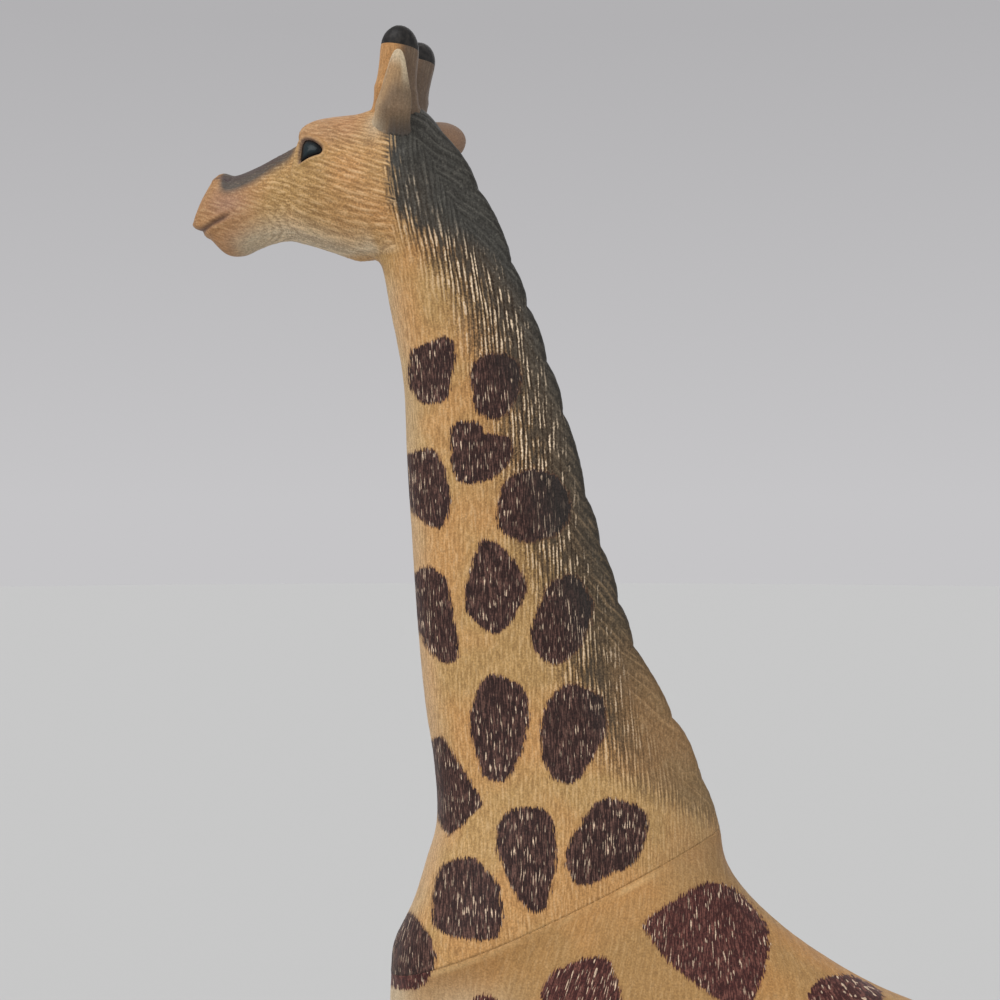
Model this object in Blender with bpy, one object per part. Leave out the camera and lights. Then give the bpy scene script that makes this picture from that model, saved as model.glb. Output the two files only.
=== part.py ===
"""A standing giraffe figure in hollow moulded vinyl, in the pieces that it is assembled from.

The figure faces -X, with +Z up and its left flank at -Y. The neck and head are one hollow moulding that
plugs into a collar in the hollow body. The four legs and the tail plug into sockets in the body, and the
two eyes are gloss beads pressed into sockets in the head. Lengths are in metres and angles in degrees.
"""

import math

import bmesh
import bpy
import numpy as np
from mathutils import Matrix, Vector

for old in list(bpy.data.objects):
    bpy.data.objects.remove(old)

# The vinyl, the clearance between pieces that fit together, and how fine a sliver a cut may leave
WALL = 0.0026
FIT_GAP = 0.0003
CUT_OVERRUN = 0.0020
SLIVER = 0.00002
SHARP_ANGLE = 40.0

# The legs, their plugs and their stance
FORELEG_TOP = 0.1190
HINDLEG_TOP = 0.1140
STANCE_SHARE = 0.53
STRIDE = 0.0040
LEG_HALF_DEPTH = 0.0078
LEG_HALF_WIDTH = 0.0060
LEG_POINTS = 12
LEG_PLUG_HALF_DEPTH = 0.0042
LEG_PLUG_HALF_WIDTH = 0.0032
LEG_PLUG_LENGTH = 0.0070
HOOF_HEIGHT = 0.0098
HOOF_HALF_LENGTH = 0.0070
HOOF_HALF_WIDTH = 0.0057
HOOF_FORWARD = 0.0016
CLEFT_WIDTH = 0.0009
CLEFT_DEPTH = 0.0045

# The body, which carries the legs at shares of its length
BODY_LENGTH = 0.1360
BODY_DEPTH = 0.0700
BODY_HALF_WIDTH = 0.0264
FORELEG_BACK_SHARE = 0.176
HINDLEG_BACK_SHARE = 0.868
BODY_VOXEL = 0.0018
BODY_RELAX_STEPS = 10
BODY_KEEP_SHARE = 0.20
CAVITY_INSET_SHARE = 1.75
STUB_TRIM_SHARE = 1.3

# The seam between neck and body is an oval in a plane that rises towards the withers
SEAM_OVER_LEG_SHARE = 0.723
SEAM_DEPTH = 0.0608
SEAM_HALF_WIDTH = 0.0160
SEAM_TILT = 23.4
COLLAR_LAND = 0.0034
NECK_PLUG_LENGTH = 0.0080

# The neck, from the seam up to the throat, and the mane along its nape
NECK_RISE = 0.1204
NECK_POINTS = 24
RING_STEPS = 2
MANE_HEIGHT = 0.0030
MANE_ROOT = 0.0016
MANE_HALF_WIDTH = 0.0030
MANE_FADE = 0.0140
MANE_TUFT_LENGTH = 0.0105
MANE_TUFT_DEPTH = 0.0006
MANE_POINTS = 10
MANE_HEAD_ROWS = 3

# The head, from the throat forward to the lips, and how deep and wide the neck is drawn up into it
HEAD_LENGTH = 0.0360
HEAD_HEIGHT = 0.0257
HEAD_HALF_WIDTH = 0.0074
HEAD_TURN = 16.0
NECK_TOP_DEPTH_SHARE = 1.69
NECK_TOP_WIDTH_SHARE = 2.16

# The horns, which stand on the crown at shares of the head's length and half width
HORN_BACK_SHARES = {"left": 0.047, "right": 0.036}
HORN_SIDE_SHARE = 0.405
HORN_LENGTH = 0.0124
HORN_RADIUS = 0.0029
HORN_LEAN = 10.0
HORN_SPLAY = 12.0
HORN_POINTS = 14

# The ears, of which the left one stands up and the right one lies back
EAR_BACK_SHARE = 0.056
EAR_SIDE_SHARE = 0.70
EAR_UP_SHARE = 0.825
EAR_LENGTH = 0.0132
EAR_HALF_WIDTH = 0.0031
EAR_THICKNESS = 0.0013
EAR_ROOT = 0.0034
EAR_POINTS = 12

# The eyes, gloss beads sunk in the cheeks
EYE_FORWARD_SHARE = 0.325
EYE_SIDE_SHARE = 0.77
EYE_UP_SHARE = 0.716
EYE_RADIUS = 0.0022
EYE_PEG_RADIUS = 0.0009
EYE_PEG_LENGTH = 0.0012
EYE_POINTS = 12

# The tail, with a tuft at its end, leaves the rump at shares of the body's length and depth
TAIL_BACK_SHARE = 0.965
TAIL_DROP_SHARE = 0.37
TAIL_LENGTH = 0.0760
TAIL_RADIUS = 0.0024
TAIL_ROOT = 0.0070
TAIL_POINTS = 8

# Rings of the neck from the seam up. Each row has how far up its front end lies and how far back, the
# same two for its back end, its half width, and how much wider it is towards the nape. Heights are shares
# of the rise from the seam's own front or back end, the rest of the depth and half width at that height.
NECK_SHARES = (
    (0.000, 0.000, 0.000, 0.918, 1.00, -0.34),
    (0.040, 0.010, 0.027, 0.906, 0.98, -0.34),
    (0.093, 0.060, 0.063, 0.886, 0.93, -0.34),
    (0.153, 0.098, 0.102, 0.861, 0.86, -0.33),
    (0.212, 0.128, 0.161, 0.819, 0.78, -0.32),
    (0.291, 0.121, 0.241, 0.749, 0.69, -0.31),
    (0.379, 0.095, 0.328, 0.677, 0.63, -0.30),
    (0.492, 0.074, 0.452, 0.612, 0.57, -0.28),
    (0.605, 0.059, 0.576, 0.551, 0.53, -0.26),
    (0.718, 0.045, 0.700, 0.499, 0.49, -0.24),
    (0.831, 0.034, 0.824, 0.439, 0.46, -0.22),
    (0.936, -0.004, 0.948, 0.368, 0.44, -0.20),
)

# Rings from the throat round the poll and out along the head. Each row has how far forward and how high
# its jaw end lies, the same two for its crown end, its half width, how much wider it is towards the crown,
# and its share of the head's turn. They are shares of the head's length, height and half width.
HEAD_SHARES = (
    (0.033, -0.097, -0.553, 0.073, 0.95, -0.20, 0.05),
    (0.052, -0.024, -0.459, 0.360, 0.95, -0.15, 0.20),
    (0.077, 0.004, -0.367, 0.600, 0.97, -0.10, 0.40),
    (0.112, 0.002, -0.265, 0.809, 0.98, -0.05, 0.60),
    (0.163, 0.002, -0.147, 0.977, 0.98, 0.00, 0.80),
    (0.226, 0.030, 0.030, 1.010, 0.99, 0.05, 0.95),
    (0.298, 0.068, 0.156, 0.994, 1.02, 0.12, 1.00),
    (0.375, 0.105, 0.278, 0.978, 1.04, 0.16, 1.00),
    (0.452, 0.137, 0.384, 0.936, 0.94, 0.16, 1.00),
    (0.524, 0.157, 0.430, 0.826, 0.76, 0.08, 1.00),
    (0.607, 0.142, 0.576, 0.720, 0.64, 0.04, 1.00),
    (0.680, 0.109, 0.691, 0.654, 0.58, 0.02, 1.00),
    (0.759, 0.069, 0.790, 0.614, 0.59, 0.02, 1.00),
    (0.843, 0.084, 0.870, 0.630, 0.62, 0.02, 1.00),
    (0.923, 0.187, 0.935, 0.515, 0.51, 0.00, 1.00),
    (0.981, 0.245, 0.982, 0.389, 0.33, 0.00, 1.00),
    (1.013, 0.284, 1.010, 0.315, 0.12, 0.00, 1.00),
)

# Rings of the body from the seam back to the rump. Each row has how far back and how high its belly end
# lies, the same two for its back end, and its half width, as shares of the body's length, depth and width.
BODY_SHARES = (
    (-0.001, -0.078, 0.419, 0.262, 0.64),
    (0.004, -0.187, 0.447, 0.182, 0.69),
    (0.029, -0.320, 0.497, 0.092, 0.76),
    (0.085, -0.490, 0.554, 0.015, 0.85),
    (0.172, -0.648, 0.610, -0.046, 0.93),
    (0.285, -0.750, 0.666, -0.092, 0.99),
    (0.410, -0.774, 0.720, -0.131, 1.00),
    (0.535, -0.750, 0.772, -0.163, 0.97),
    (0.654, -0.689, 0.825, -0.194, 0.90),
    (0.760, -0.631, 0.879, -0.233, 0.82),
    (0.854, -0.616, 0.922, -0.284, 0.70),
    (0.922, -0.600, 0.960, -0.357, 0.52),
    (0.968, -0.545, 0.982, -0.440, 0.30),
)


# Rings of a horn from its root to its tip: how far up, and its radius, as shares of length and radius
HORN_SHARES = (
    (-0.20, 1.25),
    (0.00, 1.22),
    (0.14, 1.13),
    (0.34, 1.08),
    (0.60, 1.05),
    (0.76, 1.04),
    (0.88, 0.88),
    (0.96, 0.56),
    (1.00, 0.20),
)

# Rings of an ear from its root: how far along, its half width and its thickness
EAR_SHARES = (
    (0.00, 0.78, 1.10),
    (0.14, 0.97, 1.20),
    (0.36, 1.00, 1.00),
    (0.60, 0.84, 0.80),
    (0.80, 0.62, 0.60),
    (0.93, 0.40, 0.45),
    (1.00, 0.18, 0.30),
)

# Rings of a foreleg down from its top: height, how far back its middle lies, half depth and half width.
# Heights are shares of the leg's top, the rest are shares of the leg's half depth and half width there.
FORELEG_SHARES = (
    (0.880, 0.04, 0.90, 0.90),
    (0.750, 0.06, 0.72, 0.78),
    (0.660, 0.04, 0.61, 0.70),
    (0.605, -0.02, 0.66, 0.77),
    (0.555, -0.06, 0.70, 0.82),
    (0.505, 0.00, 0.59, 0.72),
    (0.430, 0.04, 0.50, 0.60),
    (0.300, 0.06, 0.46, 0.54),
    (0.220, 0.10, 0.52, 0.60),
    (0.170, 0.10, 0.62, 0.72),
    (0.125, -0.06, 0.56, 0.68),
)
HINDLEG_SHARES = (
    (0.920, 0.14, 0.92, 0.92),
    (0.830, 0.42, 0.76, 0.78),
    (0.740, 0.78, 0.62, 0.66),
    (0.670, 1.00, 0.64, 0.70),
    (0.610, 1.02, 0.66, 0.72),
    (0.550, 0.88, 0.54, 0.62),
    (0.440, 0.74, 0.48, 0.56),
    (0.310, 0.62, 0.46, 0.54),
    (0.230, 0.56, 0.52, 0.60),
    (0.178, 0.48, 0.62, 0.72),
    (0.131, 0.28, 0.56, 0.68),
)

# Rings of the muscle that each leg joins, from inside the body down past the leg's top: how far above
# that top, how far back and how far in its middle lies, half depth and half width.
SHOULDER_SHARES = (
    (0.62, 0.90, -0.15, 0.90, 0.60),
    (0.48, 0.60, -0.12, 1.75, 1.60),
    (0.34, 0.30, -0.05, 2.05, 1.95),
    (0.20, 0.10, -0.02, 1.75, 1.72),
    (0.09, 0.00, 0.00, 1.30, 1.30),
    (0.00, 0.00, 0.00, 1.02, 1.02),
    (-0.06, 0.00, 0.00, 1.00, 1.00),
)
HAUNCH_SHARES = (
    (0.50, -0.60, 0.00, 0.90, 0.60),
    (0.40, -0.75, 0.00, 1.90, 1.45),
    (0.28, -0.80, 0.00, 2.30, 1.75),
    (0.17, -0.50, 0.00, 2.00, 1.62),
    (0.08, -0.18, 0.00, 1.42, 1.28),
    (0.00, 0.00, 0.00, 1.02, 1.02),
    (-0.06, 0.00, 0.00, 1.00, 1.00),
)

# Rings of a hoof from the fetlock's skin down to the sole: height, half length and half width
HOOF_SHARES = (
    (1.00, 0.74, 0.78),
    (0.92, 0.84, 0.90),
    (0.07, 1.00, 1.00),
    (0.00, 0.95, 0.94),
)

# The way each ear points and the way its width runs, as shares forward, to the right and up
EAR_POINTING_SHARES = {"left": (-0.10, -0.10, 1.00), "right": (-0.40, 0.90, 0.22)}
EAR_ACROSS_SHARES = {"left": (-0.95, -0.30, 0.00), "right": (0.00, -0.20, 1.00)}

# The tail's course from where it leaves the rump: how far back, how far down, and its radius
TAIL_SHARES = (
    (0.00, 0.000, 1.05),
    (0.07, 0.015, 1.00),
    (0.12, 0.070, 0.86),
    (0.14, 0.180, 0.70),
    (0.13, 0.340, 0.62),
    (0.12, 0.520, 0.60),
    (0.12, 0.640, 0.72),
    (0.13, 0.740, 1.25),
    (0.13, 0.850, 1.40),
    (0.12, 0.940, 0.85),
    (0.11, 1.000, 0.25),
)


def smooth_rows(rows, steps):
    """The rows of a table joined by a smooth curve, with so many steps from each row to the next."""
    table = np.array(rows, float)
    padded = np.vstack([2 * table[0] - table[1], table, 2 * table[-1] - table[-2]])
    found = []
    for index in range(1, len(padded) - 2):
        before, start, end, after = padded[index - 1 : index + 3]
        for step in range(steps):
            t = step / steps
            found.append(
                start
                + 0.5 * t * (end - before)
                + t * t * (before - 2.5 * start + 2 * end - 0.5 * after)
                + t * t * t * (1.5 * (start - end) + 0.5 * (after - before))
            )
    return [*found, table[-1]]


def oval(low, high, half_width, points, crown_share=0.0, inset=0.0):
    """A ring whose ends are low and high, on the mid plane, and which bulges to both sides."""
    middle = (low + high) / 2
    reach = (high - low) / 2
    reach = reach - reach.normalized() * inset
    side = half_width - inset
    ring = []
    for index in range(points):
        turn = 2 * math.pi * index / points
        height = -math.cos(turn)
        swell = side * math.sin(turn) * (1 + crown_share * height)
        ring.append(middle + reach * height + Vector((0, swell, 0)))
    return ring


def ring_about(middle, across, along, points):
    """A ring round a middle, whose two half axes are given."""
    turns = [2 * math.pi * index / points for index in range(points)]
    return [middle + across * math.cos(turn) + along * math.sin(turn) for turn in turns]


def turned(ring, pivot, angle):
    """The ring turned about the upright line through pivot, by so many degrees."""
    cosine = math.cos(math.radians(angle))
    sine = math.sin(math.radians(angle))
    return [
        Vector(
            (
                pivot.x + (p.x - pivot.x) * cosine - (p.y - pivot.y) * sine,
                pivot.y + (p.x - pivot.x) * sine + (p.y - pivot.y) * cosine,
                p.z,
            )
        )
        for p in ring
    ]


def skin(name, rings):
    """One closed mesh over a run of rings, with both ends filled."""
    build = bmesh.new()
    loops = [[build.verts.new(p) for p in ring] for ring in rings]
    for low, high in zip(loops, loops[1:]):
        for index in range(len(low)):
            build.faces.new((low[index - 1], low[index], high[index], high[index - 1]))
    build.faces.new(loops[0])
    build.faces.new(loops[-1])
    bmesh.ops.recalc_face_normals(build, faces=build.faces)
    mesh = bpy.data.meshes.new(name)
    build.to_mesh(mesh)
    build.free()
    piece = bpy.data.objects.new(name, mesh)
    bpy.context.scene.collection.objects.link(piece)
    return piece


def gather(piece, others):
    """Puts the meshes of other pieces into the piece's own, as they are, and removes the others."""
    build = bmesh.new()
    for source in (piece, *others):
        build.from_mesh(source.data)
    build.to_mesh(piece.data)
    build.free()
    for other in others:
        bpy.data.objects.remove(other)
    return piece


def settle(piece):
    """Works the piece's modifiers into its mesh."""
    graph = bpy.context.evaluated_depsgraph_get()
    mesh = bpy.data.meshes.new_from_object(piece.evaluated_get(graph))
    piece.modifiers.clear()
    piece.data = mesh
    return piece


def combine(piece, other, operation):
    """Joins another solid to the piece, or cuts it out, and clears the slivers where their skins cross."""
    change = piece.modifiers.new(operation.lower(), "BOOLEAN")
    change.operation = operation
    change.object = other
    settle(piece)
    bpy.data.objects.remove(other)
    build = bmesh.new()
    build.from_mesh(piece.data)
    bmesh.ops.remove_doubles(build, verts=build.verts, dist=SLIVER)
    bmesh.ops.dissolve_degenerate(build, edges=build.edges, dist=SLIVER)
    build.to_mesh(piece.data)
    build.free()
    return piece


def material(name, colour, roughness):
    paint = bpy.data.materials.new(name)
    paint.use_nodes = True
    shader = paint.node_tree.nodes["Principled BSDF"]
    shader.inputs["Base Color"].default_value = (*colour, 1)
    shader.inputs["Roughness"].default_value = roughness
    return paint


def finish(piece, paint):
    """Gives the piece its material and shades it smooth, apart from its sharp edges."""
    piece.data.materials.clear()
    piece.data.materials.append(paint)
    piece.data.shade_smooth()
    piece.data.set_sharp_from_angle(angle=math.radians(SHARP_ANGLE))
    return piece


# The seam, and the frame of the turned head

SEAM_RISE = math.radians(SEAM_TILT)
SEAM_FRONT = Vector((0, 0, FORELEG_TOP + SEAM_OVER_LEG_SHARE * BODY_DEPTH))
SEAM_ALONG = Vector((math.cos(SEAM_RISE), 0, math.sin(SEAM_RISE)))
SEAM_UP = Vector((-math.sin(SEAM_RISE), 0, math.cos(SEAM_RISE)))
SEAM_BACK = SEAM_FRONT + SEAM_ALONG * SEAM_DEPTH
THROAT = SEAM_FRONT + Vector((0, 0, NECK_RISE))
SIDES = {"left": -1, "right": 1}


def seam_ring(inset, height):
    """The seam's outline drawn in by an inset, in a plane so far above the seam."""
    low = SEAM_FRONT + SEAM_UP * height
    high = low + SEAM_ALONG * SEAM_DEPTH
    return oval(low, high, SEAM_HALF_WIDTH, NECK_POINTS, NECK_SHARES[0][5], inset)


def on_head(forward, side, up):
    """A place on the turned head, so far forward, to the right and up from the throat."""
    return turned([THROAT + Vector((-forward, side, up))], THROAT, -HEAD_TURN)[0]


# The neck and head

def neck_and_head_rows():
    """Both ends of each ring from the seam to the lips, its half width, its swell and its turn."""
    rows = []
    for front_up, front_back, nape_up, nape_back, width, crown in NECK_SHARES:
        depth = SEAM_DEPTH * (1 - front_up) + NECK_TOP_DEPTH_SHARE * HEAD_LENGTH * front_up
        half = SEAM_HALF_WIDTH * (1 - front_up) + NECK_TOP_WIDTH_SHARE * HEAD_HALF_WIDTH * front_up
        front = (front_back * depth, SEAM_FRONT.z + front_up * NECK_RISE)
        nape = (nape_back * depth, SEAM_BACK.z + nape_up * (THROAT.z - SEAM_BACK.z))
        rows.append((*front, *nape, width * half, crown, 0))
    for jaw_on, jaw_up, crown_on, crown_up, width, crown, turn in HEAD_SHARES:
        jaw = (-jaw_on * HEAD_LENGTH, THROAT.z + jaw_up * HEAD_HEIGHT)
        top = (-crown_on * HEAD_LENGTH, THROAT.z + crown_up * HEAD_HEIGHT)
        rows.append((*jaw, *top, width * HEAD_HALF_WIDTH, crown, turn))
    return smooth_rows(rows, RING_STEPS)


def neck_and_mane_rings():
    """The rings of the neck and head under the mane, and those of the mane's crest."""
    poll = (len(NECK_SHARES) + MANE_HEAD_ROWS) * RING_STEPS
    neck = []
    mane = []
    travelled = 0
    last = None
    for index, (low_x, low_z, high_x, high_z, width, crown, turn) in enumerate(neck_and_head_rows()):
        low = Vector((low_x, 0, low_z))
        high = Vector((high_x, 0, high_z))
        out = (high - low).normalized()
        travelled += (high - last).length if last else 0
        last = high
        fade = max(0, min(1, travelled / MANE_FADE, (poll + 1 - index) / RING_STEPS))
        ring = oval(low, high - out * MANE_HEIGHT * fade, width, NECK_POINTS, crown)
        neck.append(turned(ring, THROAT, -HEAD_TURN * turn))
        if fade > 0 and index <= poll:
            tuft = MANE_TUFT_DEPTH * math.cos(2 * math.pi * travelled / MANE_TUFT_LENGTH)
            crest = high + out * tuft * fade
            root = high - out * (MANE_HEIGHT + MANE_ROOT)
            ring = oval(root, crest, MANE_HALF_WIDTH * (1 + fade) / 2, MANE_POINTS)
            mane.append(turned(ring, THROAT, -HEAD_TURN * turn))
    return neck, mane


def horn_rings(side):
    """The rings of one horn, from inside the crown to its tip."""
    out = SIDES[side]
    back = HORN_BACK_SHARES[side] * HEAD_LENGTH
    foot = on_head(-back, out * HORN_SIDE_SHARE * HEAD_HALF_WIDTH, HEAD_HEIGHT)
    lean = math.tan(math.radians(HORN_LEAN))
    splay = math.tan(math.radians(HORN_SPLAY))
    reach = (on_head(-lean, out * splay, 1) - THROAT) * HORN_LENGTH
    across = Vector((HORN_RADIUS, 0, 0))
    along = Vector((0, HORN_RADIUS, 0))
    return [
        ring_about(foot + reach * up, across * width, along * width, HORN_POINTS)
        for up, width in HORN_SHARES
    ]


def ear_rings(side, grow=0.0):
    """The rings of one ear from its root, grown all round for the socket that takes it."""
    foot = on_head(
        -EAR_BACK_SHARE * HEAD_LENGTH,
        SIDES[side] * EAR_SIDE_SHARE * HEAD_HALF_WIDTH,
        EAR_UP_SHARE * HEAD_HEIGHT,
    )
    along = (on_head(*EAR_POINTING_SHARES[side]) - THROAT).normalized()
    across = (on_head(*EAR_ACROSS_SHARES[side]) - THROAT).normalized()
    across = (across - along * across.dot(along)).normalized()
    through = along.cross(across)
    root_share, root_thickness = EAR_SHARES[0][1:]
    rings = [(-(EAR_ROOT + grow) / EAR_LENGTH, root_share, root_thickness), *EAR_SHARES]
    return [
        ring_about(
            foot + along * (on * EAR_LENGTH),
            across * (width * EAR_HALF_WIDTH + grow),
            through * (thickness * EAR_THICKNESS + grow),
            EAR_POINTS,
        )
        for on, width, thickness in rings
    ]


def eye_rings(side, grow=0.0):
    """The rings of one eye: a short peg that swells into a round bead, grown for its socket."""
    middle = on_head(
        EYE_FORWARD_SHARE * HEAD_LENGTH,
        SIDES[side] * EYE_SIDE_SHARE * HEAD_HALF_WIDTH,
        EYE_UP_SHARE * HEAD_HEIGHT,
    )
    out = on_head(0, SIDES[side], 0) - THROAT
    across = on_head(1, 0, 0) - THROAT
    up = Vector((0, 0, 1))
    bead = EYE_RADIUS + grow
    peg = EYE_PEG_RADIUS + grow
    stations = [(-bead - EYE_PEG_LENGTH, peg)]
    first = math.asin(peg / bead)
    steps = EYE_POINTS // 2
    for step in range(steps):
        turn = first + (math.pi - first) * step / steps
        stations.append((-bead * math.cos(turn), bead * math.sin(turn)))
    return [ring_about(middle + out * on, across * r, up * r, EYE_POINTS) for on, r in stations]


def neck_cavity_rings():
    """The hollow inside the neck, from the open end of its plug up to the throat."""
    inset = COLLAR_LAND + FIT_GAP + WALL
    rings = [seam_ring(inset, -NECK_PLUG_LENGTH - CUT_OVERRUN), seam_ring(inset, WALL)]
    last = (len(NECK_SHARES) - 1) * RING_STEPS
    rows = neck_and_head_rows()[2 * RING_STEPS : last : RING_STEPS]
    for low_x, low_z, high_x, high_z, width, crown, _ in rows:
        low = Vector((low_x, 0, low_z))
        high = Vector((high_x, 0, high_z))
        nape = high - (high - low).normalized() * (MANE_HEIGHT + MANE_ROOT)
        rings.append(oval(low, nape, width, NECK_POINTS, crown, WALL))
    return rings


def build_neck_and_head():
    outer, mane = neck_and_mane_rings()
    plug_inset = COLLAR_LAND + FIT_GAP
    plug = [seam_ring(plug_inset, -NECK_PLUG_LENGTH), seam_ring(plug_inset, FIT_GAP)]
    neck = skin("neck_and_head", [*plug, seam_ring(0, FIT_GAP), *outer[1:]])
    combine(neck, skin("mane", mane), "UNION")
    for side in SIDES:
        combine(neck, skin("horn", horn_rings(side)), "UNION")
        combine(neck, skin("ear_socket", ear_rings(side, FIT_GAP)), "DIFFERENCE")
        combine(neck, skin("eye_socket", eye_rings(side, FIT_GAP)), "DIFFERENCE")
    combine(neck, skin("neck_cavity", neck_cavity_rings()), "DIFFERENCE")
    return neck


# The body

def body_rings(inset=0.0):
    """The barrel's rings from behind the seam to the rump."""
    rows = []
    for belly_back, belly_up, top_back, top_up, width in BODY_SHARES:
        belly = (belly_back * BODY_LENGTH, SEAM_FRONT.z + belly_up * BODY_DEPTH)
        top = (top_back * BODY_LENGTH, SEAM_FRONT.z + top_up * BODY_DEPTH)
        rows.append((*belly, *top, width * BODY_HALF_WIDTH))
    return [
        oval(Vector((low_x, 0, low_z)), Vector((high_x, 0, high_z)), width, NECK_POINTS, 0, inset)
        for low_x, low_z, high_x, high_z, width in smooth_rows(rows, RING_STEPS)
    ]


def leg_oval(back, side, height, half_depth, half_width):
    """A level ring of a leg."""
    middle = Vector((back, side, height))
    return ring_about(middle, Vector((half_depth, 0, 0)), Vector((0, half_width, 0)), LEG_POINTS)


def muscle_rings(shares, leg_back, leg_side, leg_top):
    """The rings of the muscle that a leg joins, down past the leg's top."""
    return [
        leg_oval(
            leg_back + back * LEG_HALF_DEPTH,
            leg_side * (1 + side),
            leg_top + up * BODY_DEPTH,
            depth * LEG_HALF_DEPTH,
            width * LEG_HALF_WIDTH,
        )
        for up, back, side, depth, width in shares
    ]


def leg_places():
    """Each leg's name, its shares, its muscle's, its place, its top and how far its hoof is set back."""
    fore = FORELEG_BACK_SHARE * BODY_LENGTH
    hind = HINDLEG_BACK_SHARE * BODY_LENGTH
    for side, sign in SIDES.items():
        across = sign * STANCE_SHARE * BODY_HALF_WIDTH
        yield f"front_leg_{side}", FORELEG_SHARES, SHOULDER_SHARES, fore, across, FORELEG_TOP, sign * STRIDE
        yield f"hind_leg_{side}", HINDLEG_SHARES, HAUNCH_SHARES, hind, across, HINDLEG_TOP, -sign * STRIDE


def build_body():
    rings = [seam_ring(0, WALL), seam_ring(0, 0), *body_rings()]
    muscles = [
        skin("muscle", muscle_rings(muscle, back, side, top))
        for _, _, muscle, back, side, top, _ in leg_places()
    ]
    body = gather(skin("body_shell", rings), muscles)
    blend = body.modifiers.new("blend", "REMESH")
    blend.mode = "VOXEL"
    blend.voxel_size = BODY_VOXEL
    relax = body.modifiers.new("relax", "SMOOTH")
    relax.factor = 0.5
    relax.iterations = BODY_RELAX_STEPS
    thin = body.modifiers.new("thin", "DECIMATE")
    thin.ratio = BODY_KEEP_SHARE
    settle(body)
    above = [seam_ring(-COLLAR_LAND, 0), seam_ring(-COLLAR_LAND, WALL + CUT_OVERRUN)]
    combine(body, skin("above_the_seam", above), "DIFFERENCE")
    inset = CAVITY_INSET_SHARE * WALL
    cavity = body_rings(inset)[RING_STEPS : -2 * RING_STEPS : RING_STEPS]
    combine(body, skin("body_cavity", [seam_ring(inset, -WALL), *cavity]), "DIFFERENCE")
    socket = [seam_ring(COLLAR_LAND, -NECK_PLUG_LENGTH - FIT_GAP), seam_ring(COLLAR_LAND, CUT_OVERRUN)]
    combine(body, skin("neck_socket", socket), "DIFFERENCE")
    for _, _, _, back, side, top, _ in leg_places():
        trim = (LEG_HALF_DEPTH * STUB_TRIM_SHARE, LEG_HALF_WIDTH * STUB_TRIM_SHARE)
        stub = [leg_oval(back, side, top - 2 * LEG_PLUG_LENGTH, *trim), leg_oval(back, side, top, *trim)]
        combine(body, skin("stub_end", stub), "DIFFERENCE")
        hole = (LEG_PLUG_HALF_DEPTH + FIT_GAP, LEG_PLUG_HALF_WIDTH + FIT_GAP)
        roof = top + LEG_PLUG_LENGTH + FIT_GAP
        bore = [leg_oval(back, side, top - CUT_OVERRUN, *hole), leg_oval(back, side, roof, *hole)]
        combine(body, skin("leg_socket", bore), "DIFFERENCE")
    combine(body, skin("tail_socket", tail_rings(FIT_GAP)), "DIFFERENCE")
    return body


# The legs

def build_leg(name, shares, back, side, top, stride):
    plug = (LEG_PLUG_HALF_DEPTH, LEG_PLUG_HALF_WIDTH)
    seat = top - FIT_GAP
    rings = [
        leg_oval(back, side, top + LEG_PLUG_LENGTH, *plug),
        leg_oval(back, side, seat, *plug),
    ]
    rows = [(1, 0, 1, 1), *shares]
    for height, lag, depth, width in smooth_rows(rows, RING_STEPS):
        middle = back + lag * LEG_HALF_DEPTH + stride * (1 - height)
        rings.append(leg_oval(middle, side, height * seat, depth * LEG_HALF_DEPTH, width * LEG_HALF_WIDTH))
    middle = back + shares[-1][1] * LEG_HALF_DEPTH + stride - HOOF_FORWARD
    for height, length, width in HOOF_SHARES:
        half = (length * HOOF_HALF_LENGTH, width * HOOF_HALF_WIDTH)
        lean = HOOF_HALF_LENGTH * (length - 1) / 2
        rings.append(leg_oval(middle - lean, side, height * HOOF_HEIGHT, *half))
    leg = skin(name, rings)
    toe = middle - HOOF_HALF_LENGTH
    cleft = [
        leg_oval(toe, side, -CUT_OVERRUN, CLEFT_DEPTH, CLEFT_WIDTH / 2),
        leg_oval(toe, side, HOOF_HEIGHT * HOOF_SHARES[1][0], CLEFT_DEPTH, CLEFT_WIDTH / 2),
    ]
    return combine(leg, skin("cleft", cleft), "DIFFERENCE")


# The tail

def tail_rings(grow=0.0):
    """The tail's rings from its root, grown all round for the socket that takes it."""
    start = SEAM_FRONT + Vector((TAIL_BACK_SHARE * BODY_LENGTH, 0, -TAIL_DROP_SHARE * BODY_DEPTH))
    root = (-(TAIL_ROOT + grow) / TAIL_LENGTH, 0, TAIL_SHARES[0][2])
    rows = smooth_rows([root, *TAIL_SHARES], RING_STEPS)
    places = [start + Vector((back, 0, -down)) * TAIL_LENGTH for back, down, _ in rows]
    rings = []
    for index, (_, _, width) in enumerate(rows):
        on = places[min(index + 1, len(places) - 1)] - places[max(index - 1, 0)]
        out = Vector((-on.z, 0, on.x)).normalized()
        radius = width * TAIL_RADIUS + grow
        rings.append(ring_about(places[index], out * radius, Vector((0, radius, 0)), TAIL_POINTS))
    return rings


def stand(pieces):
    """Moves the pieces together so that they stand on the ground, centred over the origin."""
    corners = np.array([corner.co for piece in pieces for corner in piece.data.vertices])
    low = corners.min(axis=0)
    high = corners.max(axis=0)
    shift = Vector((-(low[0] + high[0]) / 2, -(low[1] + high[1]) / 2, -low[2]))
    for piece in pieces:
        piece.data.transform(Matrix.Translation(shift))


body = build_body()
neck = build_neck_and_head()
legs = [
    build_leg(name, shares, back, side, top, stride)
    for name, shares, _, back, side, top, stride in leg_places()
]
tail = skin("tail", tail_rings())
ears = [skin(f"ear_{side}", ear_rings(side)) for side in SIDES]
eyes = [skin(f"eye_{side}", eye_rings(side)) for side in SIDES]

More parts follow.
